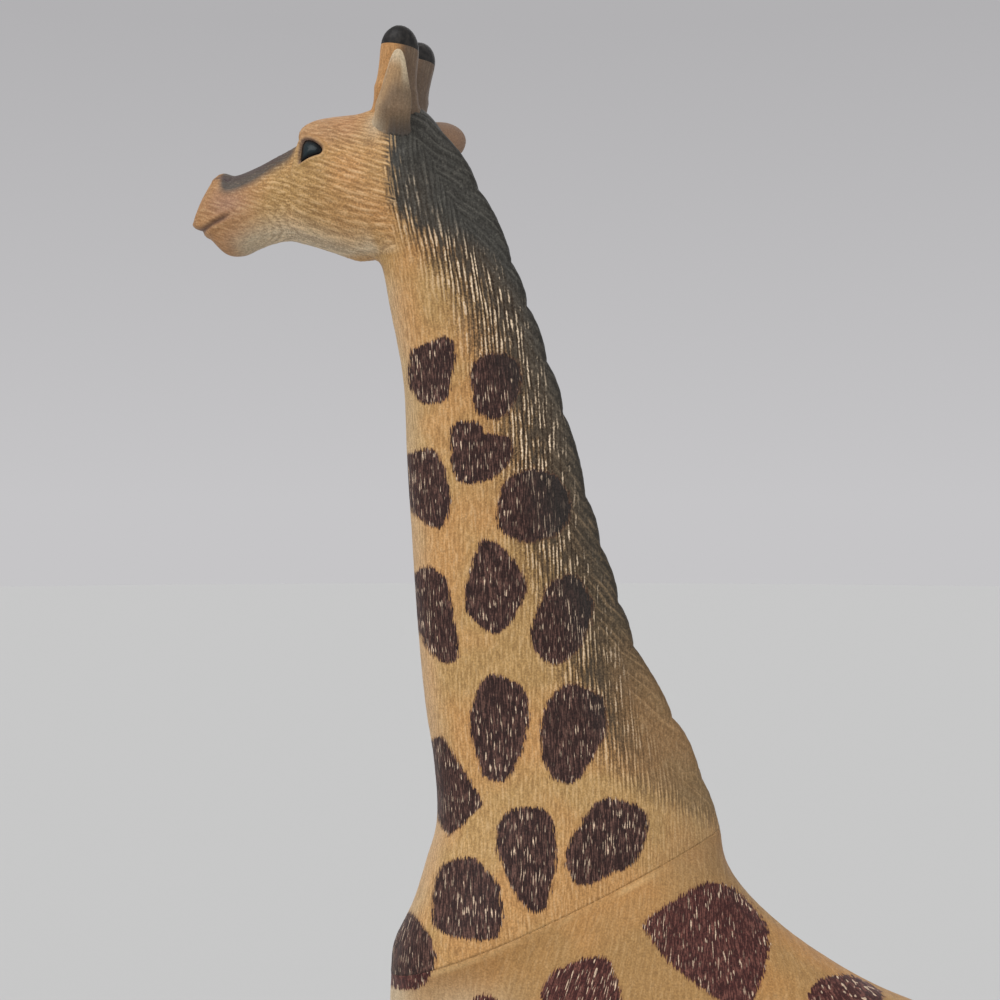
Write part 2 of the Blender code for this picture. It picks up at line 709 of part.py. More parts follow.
finish(body, material("body_coat_vinyl", (0.51, 0.31, 0.13), 0.55))
finish(neck, material("neck_coat_vinyl", (0.52, 0.33, 0.14), 0.55))
finish(tail, material("tail_vinyl", (0.24, 0.15, 0.08), 0.6))
leg_paint = material("leg_coat_vinyl", (0.50, 0.36, 0.20), 0.55)
ear_paint = material("ear_vinyl", (0.43, 0.30, 0.18), 0.55)
eye_paint = material("eye_gloss_black", (0.01, 0.01, 0.012), 0.08)
for leg in legs:
    finish(leg, leg_paint)
for ear in ears:
    finish(ear, ear_paint)
for eye in eyes:
    finish(eye, eye_paint)

stand([body, neck, tail, *legs, *ears, *eyes])
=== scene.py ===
import math

import bmesh
import bpy
import numpy as np
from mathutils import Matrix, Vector
from mathutils.bvhtree import BVHTree


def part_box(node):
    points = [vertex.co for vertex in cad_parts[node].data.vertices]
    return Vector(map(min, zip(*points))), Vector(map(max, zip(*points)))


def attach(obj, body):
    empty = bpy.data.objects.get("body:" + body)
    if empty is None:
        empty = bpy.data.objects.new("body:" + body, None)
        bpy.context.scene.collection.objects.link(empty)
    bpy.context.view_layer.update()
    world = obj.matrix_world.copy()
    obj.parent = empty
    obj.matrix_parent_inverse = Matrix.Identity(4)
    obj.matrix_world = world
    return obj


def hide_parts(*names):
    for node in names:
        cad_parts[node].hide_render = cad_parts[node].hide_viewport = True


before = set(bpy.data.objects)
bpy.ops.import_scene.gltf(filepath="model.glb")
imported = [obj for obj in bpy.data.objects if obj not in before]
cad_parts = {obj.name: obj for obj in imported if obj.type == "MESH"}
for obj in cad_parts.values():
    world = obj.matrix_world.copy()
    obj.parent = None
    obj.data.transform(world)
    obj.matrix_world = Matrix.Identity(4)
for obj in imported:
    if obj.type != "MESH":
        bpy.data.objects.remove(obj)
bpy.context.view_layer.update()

# The stage. The figure stands on a pale grey paper floor in front of a grey wall, under one broad
# soft light from the upper left and a weaker one from the right. The wall that the lens sees is painted
# shade, darker higher up. The lens looks level at the neck.
MM = 0.001
VIEW_BACK, VIEW_DISTANCE, VIEW_UP = 18.5, 299.0, 249.25
LENS = 63.3
FLOOR_RADIUS = 5000.0
FLOOR_DROP = 0.3
PAPER_GREY = "#c7c7c7"
WALL_HIGH, WALL_LOW, WALL_RISE = "#b2b1b3", "#c6c5c7", 0.26
AMBIENT = 0.58
neck_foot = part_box("body_shell")[0].x / MM


def place(points):
    """Places in mm, back from the neck's foot, to the right and up, as places in the frame, in metres."""
    return (np.asarray(points, float) + (neck_foot, 0, 0)) * MM


def linear(colour):
    """An sRGB hex colour as linear red, green, blue and alpha."""
    parts = [int(colour[start : start + 2], 16) / 255 for start in (1, 3, 5)]
    return (*[p / 12.92 if p <= 0.04045 else ((p + 0.055) / 1.055) ** 2.4 for p in parts], 1.0)


def node(tree, kind, inputs=(), **settings):
    """Adds a node with its settings, and sets or links its open inputs, in turn or by name.

    A node that is given as an input lends its first output.
    """
    made = tree.nodes.new(kind)
    for name, value in settings.items():
        setattr(made, name, value)
    if not isinstance(inputs, dict):
        inputs = dict(zip([number for number, socket in enumerate(made.inputs) if socket.enabled], inputs))
    for key, value in inputs.items():
        if isinstance(value, bpy.types.Node):
            value = next(output for output in value.outputs if output.enabled)
        if isinstance(value, bpy.types.NodeSocket):
            tree.links.new(value, made.inputs[key])
        else:
            made.inputs[key].default_value = value
    return made


def new_paint(name):
    """A material without any nodes yet, and its node tree."""
    paint = bpy.data.materials.new(name)
    paint.use_nodes = True
    paint.node_tree.nodes.clear()
    return paint, paint.node_tree


def new_object(name, data):
    made = bpy.data.objects.new(name, data)
    bpy.context.scene.collection.objects.link(made)
    return made


def soft_lamp(name, stands_at, strength, spread):
    """A broad light that comes from the side where it stands."""
    lamp = bpy.data.lights.new(name, "SUN")
    lamp.energy = strength
    lamp.angle = math.radians(spread)
    holder = new_object(name, lamp)
    holder.rotation_euler = Vector(stands_at).to_track_quat("Z", "Y").to_euler()


camera = new_object("camera", bpy.data.cameras.new("camera"))
camera.data.lens = LENS
camera.location = place((VIEW_BACK, -VIEW_DISTANCE, VIEW_UP))
camera.rotation_euler = (math.pi / 2, 0, 0)
bpy.context.scene.camera = camera
bpy.context.scene.view_settings.view_transform = "Standard"

soft_lamp("key_lamp", (-0.75, -0.85, 1.0), 1.6, 50)
soft_lamp("fill_lamp", (0.9, -0.8, 0.35), 0.35, 70)
soft_lamp("rim_lamp", (0.2, 1.0, 0.6), 0.35, 50)

world = bpy.data.worlds.new("studio")
world.use_nodes = True
bpy.context.scene.world = world
tree = world.node_tree
tree.nodes.clear()
ray = node(tree, "ShaderNodeLightPath").outputs
seen = node(tree, "ShaderNodeMath", (ray["Is Camera Ray"], ray["Is Glossy Ray"]), operation="MAXIMUM")
# painted shade: the wall that the lens and reflections see is a colour, lighter low down and darker higher up, which
# lights nothing
direction = node(tree, "ShaderNodeTexCoord").outputs["Generated"]
height = node(tree, "ShaderNodeSeparateXYZ", (direction,)).outputs["Z"]
rise = node(tree, "ShaderNodeMapRange", (height, 0.0, WALL_RISE))
wall = node(tree, "ShaderNodeMix", (rise, linear(WALL_LOW), linear(WALL_HIGH)), data_type="RGBA")
lit = node(tree, "ShaderNodeBackground", ((1, 1, 1, 1), AMBIENT))
shown = node(tree, "ShaderNodeBackground", (wall, 1.0))
node(tree, "ShaderNodeOutputWorld", (node(tree, "ShaderNodeMixShader", (seen, lit, shown)),))

sheet = bmesh.new()
bmesh.ops.create_circle(sheet, cap_ends=True, segments=64, radius=FLOOR_RADIUS * MM)
bmesh.ops.translate(sheet, verts=sheet.verts, vec=(0, 0, -FLOOR_DROP * MM))
floor = new_object("floor", bpy.data.meshes.new("floor"))
sheet.to_mesh(floor.data)
sheet.free()

# Uncoated paper, which is matt and shows no highlight
paper, tree = new_paint("matt_backdrop_paper")
shader = node(
    tree, "ShaderNodeBsdfPrincipled",
    {"Base Color": linear(PAPER_GREY), "Roughness": 0.95, "Specular IOR Level": 0.0},
)
node(tree, "ShaderNodeOutputMaterial", (shader,))
floor.data.materials.append(paper)

# The neck and head, one hollow moulding in soft vinyl. Its coat and mane are cut into the mould as fine
# strokes, and the tan, the dark mane and the spots are sprayed and brushed over them by hand. It is shown
# as two meshes that meet in one ring at the throat. Sizes are in mm, and angles in degrees.
SEAM_UP, SEAM_DEPTH, SEAM_HALF_WIDTH, SEAM_TILT = 169.6, 60.8, 16.0, 23.4
NECK_RISE = 120.4
HEAD_LENGTH, HEAD_HEIGHT, HEAD_HALF_WIDTH, HEAD_TURN = 36.0, 25.7, 7.4, 16.0
NECK_TOP_DEPTH, NECK_TOP_HALF_WIDTH = 60.8, 16.0
MANE_HEIGHT, MANE_HALF_WIDTH, MANE_FADE = 3.0, 2.6, 14.0
TUFT_LENGTH, TUFT_DEPTH = 10.5, 0.35
AROUND = 420
NECK_ROWS, HEAD_ROWS = 215, 225
THROAT_UP = SEAM_UP + NECK_RISE

# Rows of the neck from the seam up: how far up its front end lies and how far back, the same for its back
# end, its half width, and how much wider it is towards the nape
NECK_SHARES = (
    (0.000, 0.000, 0.000, 0.918, 1.00, -0.34),
    (0.040, 0.010, 0.027, 0.906, 0.98, -0.34),
    (0.093, 0.060, 0.063, 0.886, 0.93, -0.34),
    (0.153, 0.098, 0.102, 0.861, 0.86, -0.33),
    (0.212, 0.128, 0.161, 0.819, 0.78, -0.32),
    (0.291, 0.121, 0.241, 0.749, 0.69, -0.31),
    (0.379, 0.095, 0.328, 0.677, 0.63, -0.30),
    (0.492, 0.074, 0.452, 0.612, 0.57, -0.28),
    (0.605, 0.059, 0.576, 0.551, 0.53, -0.26),
    (0.718, 0.045, 0.700, 0.499, 0.49, -0.24),
    (0.831, 0.034, 0.824, 0.439, 0.46, -0.22),
    (0.936, -0.004, 0.948, 0.368, 0.44, -0.20),
)

# Rows from the throat round the poll and out to the lips: how far forward and how high the jaw end lies,
# the same for the crown end, the half width, how much wider it is towards the crown, and the head's turn
HEAD_SHARES = (
    (0.033, -0.097, -0.553, 0.073, 0.95, -0.20, 0.05),
    (0.052, -0.024, -0.459, 0.360, 0.95, -0.15, 0.20),
    (0.077, 0.004, -0.367, 0.600, 0.97, -0.10, 0.40),
    (0.112, 0.002, -0.265, 0.809, 0.98, -0.05, 0.60),
    (0.163, 0.002, -0.147, 0.977, 0.98, 0.00, 0.80),
    (0.226, 0.030, 0.030, 0.992, 0.99, 0.05, 0.95),
    (0.298, 0.068, 0.156, 0.972, 1.02, 0.12, 1.00),
    (0.375, 0.105, 0.276, 0.964, 1.04, 0.16, 1.00),
    (0.452, 0.137, 0.384, 0.936, 0.94, 0.16, 1.00),
    (0.524, 0.157, 0.420, 0.826, 0.76, 0.08, 1.00),
    (0.607, 0.142, 0.576, 0.720, 0.64, 0.04, 1.00),
    (0.680, 0.109, 0.691, 0.654, 0.58, 0.02, 1.00),
    (0.759, 0.069, 0.790, 0.614, 0.59, 0.02, 1.00),
    (0.843, 0.084, 0.870, 0.630, 0.62, 0.02, 1.00),
    (0.923, 0.187, 0.935, 0.515, 0.51, 0.00, 1.00),
    (0.981, 0.245, 0.982, 0.389, 0.33, 0.00, 1.00),
    (1.013, 0.284, 1.010, 0.315, 0.12, 0.00, 1.00),
)
MANE_HEAD_ROWS = 3

# Shapes on the head, as places forward and up from the throat, seen square from its side
EYE_OUTLINE = (
    (13.6, 15.9), (13.7, 17.8), (13.6, 19.5), (12.9, 20.0), (11.6, 19.7),
    (10.4, 19.0), (9.6, 18.1), (9.9, 17.3), (11.0, 17.0), (12.2, 16.6),
)
LID_FOLD = ((15.0, 19.4), (13.8, 20.9), (12.0, 21.2), (10.0, 20.3), (8.4, 18.7))
BROW_FOLD = ((15.2, 21.0), (13.4, 22.4), (11.4, 22.7), (9.0, 21.6), (7.2, 19.8))
MOUTH_LINE = ((37.0, 6.5), (34.5, 6.1), (32.4, 6.5), (29.8, 7.5), (27.4, 8.6))
NOSTRIL_LINE = ((31.2, 15.3), (30.2, 15.4), (29.0, 14.8))

# Rounded places on the side of the head: how far forward and up their middle lies, half length, half height
CHEEK, HOLLOW, CHIN = (3.5, 8.0, 7.5, 6.5), (18.5, 9.5, 4.5, 4.0), (27.5, 3.6, 3.0, 2.2)
NOSTRIL_TOP, LIP_CORNER, EAR_FRONT = (28.8, 16.2, 2.2, 1.2), (28.5, 10.2, 3.6, 2.2), (0.7, 22.6, 1.9, 2.66)

# The front edge of the mane, as places back and up in the side view
MANE_EDGE = (
    (50.0, 192.0), (45.0, 197.0), (39.0, 204.5), (35.5, 211.5), (33.5, 218.5), (31.5, 225.5), (29.5, 232.5),
    (26.0, 242.5), (23.5, 254.5), (22.0, 263.0), (18.0, 274.5), (15.0, 283.5), (12.0, 288.0), (9.0, 292.0),
    (4.0, 296.0), (0.0, 300.0), (-0.5, 306.0), (-0.7, 312.0), (-0.8, 318.0),
)

# The outlines of the spots, as places back and up in the side view of the neck, shoulder and chest
SPOT_OUTLINES = (
    ((3.5, 275), (6.5, 276), (9, 277), (10.5, 276), (11, 273.5), (10, 269.5), (9.5, 266.5), (6.5, 265.5),
     (4.5, 266.5), (3, 269), (3, 272)),
    ((14.5, 273), (16.5, 274), (19.5, 274), (21.5, 272.5), (22, 269.5), (21, 266), (19.5, 264), (17.5, 263),
     (15, 264), (14, 266), (13.5, 271)),
    ((11, 262.5), (15, 262.5), (16, 260.5), (20, 260), (20.5, 257.5), (20, 255.5), (18, 253.5), (16, 252.5),
     (13.5, 252), (11.5, 252.5), (10.5, 255), (10, 260.5)),
    ((2.5, 257), (6.5, 258), (8.5, 256), (9.5, 253), (10, 250), (9.5, 246), (8, 244.5), (5.5, 245.5),
     (3, 248), (2, 252)),
    ((19, 252), (21, 253.5), (24, 254.5), (27.5, 253.5), (29.5, 251.5), (30.5, 248.5), (30, 245.5),
     (28, 243.5), (25.5, 242.5), (23, 242), (20, 243), (18.5, 244.5), (18, 247)),
    ((16, 242.5), (15, 242), (13.5, 237.5), (12.5, 233), (13, 230), (15, 228), (17.5, 226.5), (19.5, 227.5),
     (21, 229.5), (22.5, 232.5), (23, 235), (21.5, 238), (18, 242)),
    ((3.5, 236.5), (6, 238), (8, 237), (9.5, 235.5), (10.5, 230.5), (11, 227), (11.5, 224), (11, 222),
     (9, 221.5), (7, 223), (5, 226), (3.5, 230.5)),
    ((26.5, 234.5), (28.5, 236), (31, 236.5), (32.5, 235), (34, 232), (34, 229.5), (33, 226.5),
     (31.5, 223.5), (29, 221.5), (27, 221.5), (25.5, 222.5), (24, 224.5), (24, 228)),
    ((14.5, 216.5), (16, 219), (18, 219.5), (20.5, 218.5), (22.5, 217), (23.5, 214), (23, 209.5), (22, 206),
     (20.5, 203), (19.5, 201.5), (17.5, 201.5), (15.5, 202.5), (14.5, 206), (13.5, 209.5), (13.5, 213)),
    ((26.5, 215), (28.5, 217), (30.5, 218), (33.5, 217), (36, 215.5), (36.5, 213), (36.5, 210),
     (35.5, 207.5), (34, 205), (32.5, 202.5), (30.5, 201), (28, 201.5), (26.5, 203.5), (25.5, 207),
     (25.5, 211)),
    ((6, 208), (8.5, 209), (10, 207), (11.5, 204.5), (14, 200.5), (15.5, 198), (14.5, 196.5), (11, 193),
     (9.5, 192.5), (7.5, 196), (6.5, 201.5)),
    ((18, 193.5), (19.5, 196), (22.5, 197), (26, 196.5), (27.5, 194.5), (28, 190.5), (28, 187), (27, 183),
     (26, 179.5), (23.5, 179.5), (21, 182.5), (19.5, 186), (18, 190)),
    ((29.5, 187.5), (30.5, 191.5), (32, 193.5), (34, 197), (36.5, 198.5), (39.5, 198), (42, 197),
     (43.5, 195.5), (43.5, 192.5), (42, 188.5), (39.5, 186.5), (37, 185.5), (34.5, 184), (31.5, 184)),
    ((8.5, 187), (10.5, 188), (13.5, 188.5), (15.5, 187), (18, 184.5), (18.5, 182), (19, 178), (18, 175),
     (16, 174.5), (13.5, 174.5), (10.5, 175), (7.5, 176.5), (7, 179), (7.5, 184.5)),
    ((3, 179.5), (4.5, 178), (6, 176), (7, 174), (7.5, 171), (6.5, 168), (5, 166.5), (3, 166), (0, 166.5),
     (-1.5, 169), (-1.5, 174), (0, 177.5)),
    ((43, 176.5), (44, 178.5), (49.5, 182), (53, 184), (56, 184), (58.5, 183), (62.5, 179), (64, 176),
     (64, 171.5), (62.5, 166.5), (60.5, 163), (58, 163), (53, 166), (46.5, 171.5)),
    ((25.5, 165.5), (27, 168.5), (29.5, 170), (34, 171.5), (37, 171), (38, 168.5), (39, 165), (38, 158.5),
     (35, 154), (30, 154), (27, 158.5)),
    ((70.5, 163.5), (71.5, 166.5), (73.5, 168), (77.5, 168.5), (82, 167), (84.5, 162.5), (83, 156.5),
     (78, 154.5), (73, 156.5)),
    ((13, 162), (14, 164.5), (16.5, 165), (19, 163), (20.5, 158.5), (19.5, 152.5), (16, 150.5),
     (13, 152.5), (11.5, 158)),
)
SPOT_REACH, SEAM_FAR = 8.0, 50.0
HORN_SIDE, HORN_FOOT_UP = 3.0, 25.7
NAPE_BACK = 46.0
FAR_SIDE_SHIFT, FAR_SIDE_SHARE = 1.2, 0.9


def smooth_rows(rows, steps):
    """The rows of a table joined by a smooth curve, with so many steps from each row to the next."""
    table = np.array(rows, float)
    padded = np.vstack([2 * table[0] - table[1], table, 2 * table[-1] - table[-2]])
    t = (np.arange(steps) / steps)[None, :, None]
    before, start, end, after = [padded[first : len(padded) - 3 + first, None, :] for first in range(4)]
    curve = (
        start
        + 0.5 * t * (end - before)
        + t**2 * (before - 2.5 * start + 2 * end - 0.5 * after)
        + t**3 * (1.5 * (start - end) + 0.5 * (after - before))
    )
    return np.vstack([curve.reshape(-1, table.shape[1]), table[-1:]])


def spread_rows(rows, travelled, count):
    """So many rows, evenly spaced by the distance travelled."""
    wanted = np.linspace(travelled[0], travelled[-1], count)
    return np.stack([np.interp(wanted, travelled, column) for column in rows.T], axis=1)


def turned(points, turn):
    """Places turned about the upright line through the throat, with the head's share of its turn."""
    angle = np.radians(-HEAD_TURN) * turn
    x, y = points[..., 0], points[..., 1]
    return np.stack(
        [x * np.cos(angle) - y * np.sin(angle), x * np.sin(angle) + y * np.cos(angle), points[..., 2]], axis=-1
    )


def grid_normals(points):
    """The outward normal at each place of a grid of rings."""
    around = np.roll(points, -1, axis=1) - np.roll(points, 1, axis=1)
    along = np.gradient(points, axis=0)
    normal = np.cross(around, along)
    normal /= np.linalg.norm(normal, axis=2, keepdims=True) + 1e-9
    outward = points - points.mean(axis=1, keepdims=True)
    return normal * np.sign((normal * outward).sum())


def grid_mesh(name, points, first_cap=True, last_cap=True):
    """A closed mesh over a grid of rings, given in mm."""
    rows, count = points.shape[:2]
    index = np.arange(rows * count).reshape(rows, count)
    side = np.roll(index, -1, axis=1)
    quads = np.stack([index[:-1], side[:-1], side[1:], index[1:]], axis=-1).reshape(-1, 4).tolist()
    if first_cap:
        quads.append(index[0].tolist())
    if last_cap:
        quads.append(index[-1].tolist())
    mesh = bpy.data.meshes.new(name)
    mesh.from_pydata(place(points.reshape(-1, 3)).tolist(), [], quads)
    build = bmesh.new()
    build.from_mesh(mesh)
    bmesh.ops.recalc_face_normals(build, faces=build.faces)
    build.to_mesh(mesh)
    build.free()
    mesh.shade_smooth()
    return mesh


def store(mesh, **fields):
    """Keeps numbers or places for each point of the mesh under a name, for its nodes to read."""
    for name, values in fields.items():
        values = np.ascontiguousarray(values, np.float32)
        kind, slot = ("FLOAT_VECTOR", "vector") if values.ndim > 1 else ("FLOAT", "value")
        kept = mesh.attributes.get(name) or mesh.attributes.new(name, kind, "POINT")
        kept.data.foreach_set(slot, values.ravel())


def ramp(values, low, high):
    """Rises smoothly from 0 at low to 1 at high. Where low is the greater of the two, it falls instead."""
    share = np.clip((values - low) / (high - low), 0, 1)
    return share * share * (3 - 2 * share)


def bell(distance, width):
    """Falls smoothly from 1 where the distance is nothing."""
    return np.exp(-((distance / width) ** 2))


def in_oval(places, oval, width=1.0):
    """Falls smoothly from 1 at an oval's middle."""
    return np.exp(-(((places - np.array(oval[:2])) / (np.array(oval[2:]) * width)) ** 2).sum(axis=1))


def edge_distance(points, path, closed=False):
    """How far each place lies from a path, and for a closed one how far inside it, below nothing outside."""
    path = np.array(path, float)
    ends = np.roll(path, -1, axis=0) if closed else path[1:]
    starts = path if closed else path[:-1]
    least = np.full(len(points), 1e9)
    inside = np.zeros(len(points), bool)
    for start, end in zip(starts, ends):
        line = end - start
        away = points - start
        share = np.clip(away @ line / (line @ line), 0, 1)
        least = np.minimum(least, ((away - share[:, None] * line) ** 2).sum(axis=1))
        if closed:
            crosses = (start[1] > points[:, 1]) != (end[1] > points[:, 1])
            slope = line[0] / (line[1] or 1e-9)
            inside ^= crosses & (points[:, 0] < start[0] + slope * (points[:, 1] - start[1]))
    least = np.sqrt(least)
    return np.where(inside, least, -least) if closed else least


def side_view(points):
    """Where places show in the side view, in mm back and up, and the same for the far side."""
    nearer = VIEW_DISTANCE / (VIEW_DISTANCE - np.abs(points[:, 1]))
    back = VIEW_BACK + (points[:, 0] - VIEW_BACK) * nearer
    return np.stack([back, VIEW_UP + (points[:, 2] - VIEW_UP) * nearer], axis=1)


def from_seam(places):
    """How far above or below the seam each place lies. The seam is painted no further back than the nape."""
    distance = (places - seam_front) @ seam_normal
    return distance + SEAM_FAR * np.sign(distance) * (places[:, 0] > NAPE_BACK)


def nape_shade(view):
    """How far the painted shade behind the neck's base, a brown darkening, covers a place of the side view."""
    back, height = view.T
    return ramp(back, 38, 56) * ramp(height, 176, 192) * ramp(height, 222, 204)


def drawn_spots(points):
    """How far inside the nearest drawn spot each place lies, in mm. The far side's spots lie a little off."""
    view = side_view(points)
    sides = []
    for side in (-1, 1):
        reach = np.full(len(points), -SPOT_REACH)
        for index, outline in enumerate(SPOT_OUTLINES):
            outline = np.array(outline, float)
            middle = outline.mean(axis=0)
            if side > 0:
                outline = middle + (outline - middle) * FAR_SIDE_SHARE
                outline += FAR_SIDE_SHIFT * np.array([math.sin(2.1 * index), math.cos(1.7 * index)])
            closed = smooth_rows(np.vstack([outline, outline[:1]]), 3)[:-1]
            near = (np.abs(view - middle) < np.ptp(outline, axis=0) / 2 + SPOT_REACH).all(axis=1)
            near &= points[:, 1] * side > -4
            reach[near] = np.maximum(reach[near], edge_distance(view[near], closed, closed=True))
        sides.append(reach)
    right = ramp(points[:, 1], -2.0, 2.0)
    return sides[0] * (1 - right) + sides[1] * right


def ovals(low, high, half_width, crown, count):
    """A grid of rings whose ends are low and high, on the mid plane, and which bulge to both sides."""
    turn = 2 * math.pi * np.arange(count) / count
    turn = turn + 0.12 * np.sin(2 * turn)
    level = -np.cos(turn)[None, :]
    middle, reach = (low + high) / 2, (high - low) / 2
    points = np.zeros((len(low), count, 3))
    points[..., 0] = middle[:, :1] + reach[:, :1] * level
    points[..., 2] = middle[:, 1:] + reach[:, 1:] * level
    swell = np.sin(turn)[None, :] * (1 + crown[:, None] * level)
    points[..., 1] = half_width[:, None] * swell
    return points, np.broadcast_to(level, swell.shape), swell


# Every row of the moulding: both its ends, its half width, its swell and its turn
tilt = math.radians(SEAM_TILT)
seam_along = np.array([math.cos(tilt), 0, math.sin(tilt)])
seam_normal = np.array([-math.sin(tilt), 0, math.cos(tilt)])
seam_front = np.array([0, 0, SEAM_UP])
seam_back_up = SEAM_UP + SEAM_DEPTH * math.sin(tilt)
rows = []
for front_up, front_back, nape_up, nape_back, width, crown in NECK_SHARES:
    depth = SEAM_DEPTH * (1 - front_up) + NECK_TOP_DEPTH * front_up
    half = SEAM_HALF_WIDTH * (1 - front_up) + NECK_TOP_HALF_WIDTH * front_up
    nape_height = seam_back_up + nape_up * (THROAT_UP - seam_back_up)
    rows.append(
        (front_back * depth, SEAM_UP + front_up * NECK_RISE, nape_back * depth, nape_height, width * half, crown, 0)
    )
for jaw_on, jaw_up, crown_on, crown_up, width, crown, turn in HEAD_SHARES:
    jaw = (-jaw_on * HEAD_LENGTH, THROAT_UP + jaw_up * HEAD_HEIGHT)
    top = (-crown_on * HEAD_LENGTH, THROAT_UP + crown_up * HEAD_HEIGHT)
    rows.append((*jaw, *top, width * HEAD_HALF_WIDTH, crown, turn))
STEPS = 24
rows = smooth_rows(rows, STEPS)
moves = [np.linalg.norm(np.diff(rows[:, ends], axis=0), axis=1) for ends in (slice(0, 2), slice(2, 4))]
travelled = np.concatenate([[0], np.cumsum(np.maximum(*moves))])
crest = np.concatenate([[0], np.cumsum(moves[1])])
rows = np.column_stack([rows, crest, np.arange(len(rows)) / STEPS])
throat = len(NECK_SHARES) * STEPS
neck_rows = spread_rows(rows[: throat + 1], travelled[: throat + 1], NECK_ROWS)
head_rows = spread_rows(rows[throat:], travelled[throat:], HEAD_ROWS)
rows = np.vstack([neck_rows, head_rows[1:]])
low, high, half_width, crown, turn, crest, row = np.split(rows, [2, 4, 5, 6, 7, 8], axis=1)
half_width, crown, turn, crest, row = [part[:, 0] for part in (half_width, crown, turn, crest, row)]

# The mane stands up from the nape as a narrow scalloped ridge that fades out at both ends
poll = len(NECK_SHARES) + MANE_HEAD_ROWS
fade = np.clip(np.minimum(crest / MANE_FADE, (poll + 0.5 - row)), 0, 1)
out = (high - low) / np.linalg.norm(high - low, axis=1, keepdims=True)
root = high - out * (MANE_HEIGHT * fade)[:, None]
straight, level, swell = ovals(low, root, half_width, crown, AROUND)
uneven = crest + 1.6 * np.sin(crest / 7.3) + 0.9 * np.sin(crest / 3.1)
scallop = TUFT_DEPTH * (2 * np.abs(np.sin(math.pi * uneven / TUFT_LENGTH)) ** 0.7 - 1)
ridge = np.exp(-((np.abs(straight[..., 1]) / MANE_HALF_WIDTH) ** 3)) * (level > 0)
lift = ((MANE_HEIGHT + scallop) * fade)[:, None] * ridge
straight[..., 0] += out[:, :1] * lift
straight[..., 2] += out[:, 1:] * lift

# The face is carved into the head: horn feet, eye sockets under folded lids, brow, nostrils, mouth and cheek
flat = straight.reshape(-1, 3)
forward, aside, up = -flat[:, 0], np.abs(flat[:, 1]), flat[:, 2] - THROAT_UP
profile = np.stack([forward, up], axis=1)
on_head = np.repeat(ramp(row, poll - 1.0, poll + 0.5), AROUND)
beside = ramp(aside, 1.2, 3.0) * on_head
in_eye = edge_distance(profile, smooth_rows(EYE_OUTLINE + EYE_OUTLINE[:1], 3)[:-1], closed=True)
lid_fold = edge_distance(profile, smooth_rows(LID_FOLD, 4))
brow_fold = edge_distance(profile, smooth_rows(BROW_FOLD, 4))
mouth = edge_distance(profile, smooth_rows(MOUTH_LINE, 4))
nostril = edge_distance(profile, smooth_rows(NOSTRIL_LINE, 4))
swelling = beside * (
    -0.75 * ramp(in_eye, -0.15, 0.35)
    + 0.30 * bell(in_eye + 0.45, 0.36)
    - 0.22 * bell(lid_fold, 0.28)
    + 0.40 * bell(brow_fold, 0.80)
    - 0.60 * bell(nostril, 0.34)
    + 0.22 * bell(nostril - 0.85, 0.45)
)
swelling += on_head * (-0.34 * bell(mouth, 0.30) + 0.20 * bell(mouth - 0.80, 0.50)) * ramp(forward, 27.0, 29.5)
horn_foot = np.sqrt((forward + 1.5) ** 2 / 1.5 + (aside - HORN_SIDE) ** 2 + ((up - HORN_FOOT_UP) / 1.6) ** 2)
swelling += 1.15 * bell(horn_foot, 3.4) * on_head
swelling += beside * (0.55 * in_oval(profile, CHEEK) - 0.45 * in_oval(profile, HOLLOW))
carved = straight + grid_normals(straight) * swelling.reshape(level.shape)[..., None]
figure = turned(carved, turn[:, None])

# The fur lies down the neck and along the head. A comb counts its strokes side by side, and the lie says
# where across and along a stroke each place is.
FUR_RUN, FUR_STROKE = 5.0, 0.8
FUR_LEAN, FUR_LEAN_FROM, FUR_BEND = 7.0, 274.0, 8.0
FACE_SLOPE, FACE_STROKE = 19.0, 0.95
over = np.repeat(np.arange(len(rows)) >= NECK_ROWS, AROUND)
on_face = over * ramp(forward, -3.0, 0.0) * ramp(up, 0.0, 1.5)
step = np.linalg.norm(np.roll(straight, -1, axis=1) - straight, axis=2)
passed = np.cumsum(step, axis=1) - step
passed = np.minimum(passed, step.sum(axis=1, keepdims=True) - passed)
flank, top_row, half_ring = AROUND // 4, NECK_ROWS - 1, slice(0, AROUND // 2 + 1)
unrolled = straight[:, flank : flank + 1, 0] + passed - passed[:, flank : flank + 1]
reached = np.clip(flat[:, 0], straight[top_row, 0, 0], straight[top_row, AROUND // 2, 0])
on_top = np.interp(reached, straight[top_row, half_ring, 0], unrolled[top_row, half_ring]) + flat[:, 0] - reached
unrolled = np.where(over, on_top, unrolled.ravel())
unrolled += math.tan(math.radians(FUR_LEAN)) * FUR_BEND * np.logaddexp(0, (flat[:, 2] - FUR_LEAN_FROM) / FUR_BEND)
lie = np.stack([unrolled, 3 * np.tanh(flat[:, 1] / 3), flat[:, 2] / FUR_RUN], axis=1)
slope = math.radians(FACE_SLOPE)
face_run = forward * math.cos(slope) + up * math.sin(slope)
face_across = up * math.cos(slope) - forward * math.sin(slope)
face_round = HEAD_HALF_WIDTH * swell.ravel()
face_lie = np.stack([face_across, face_round, face_run / FUR_RUN], axis=1)
face_comb = (face_across - 0.8 * np.abs(face_round)) / FACE_STROKE

# The mane's strokes start along its front edge with those of the coat, and slant back to the crest
MANE_STROKE_WIDTH, MANE_REACH = 2.9, 14.0
COAT_CUT, FRINGE_CUT, FACE_CUT, FRINGE_WIDTH = 0.045, 0.165, 0.05, 5.0

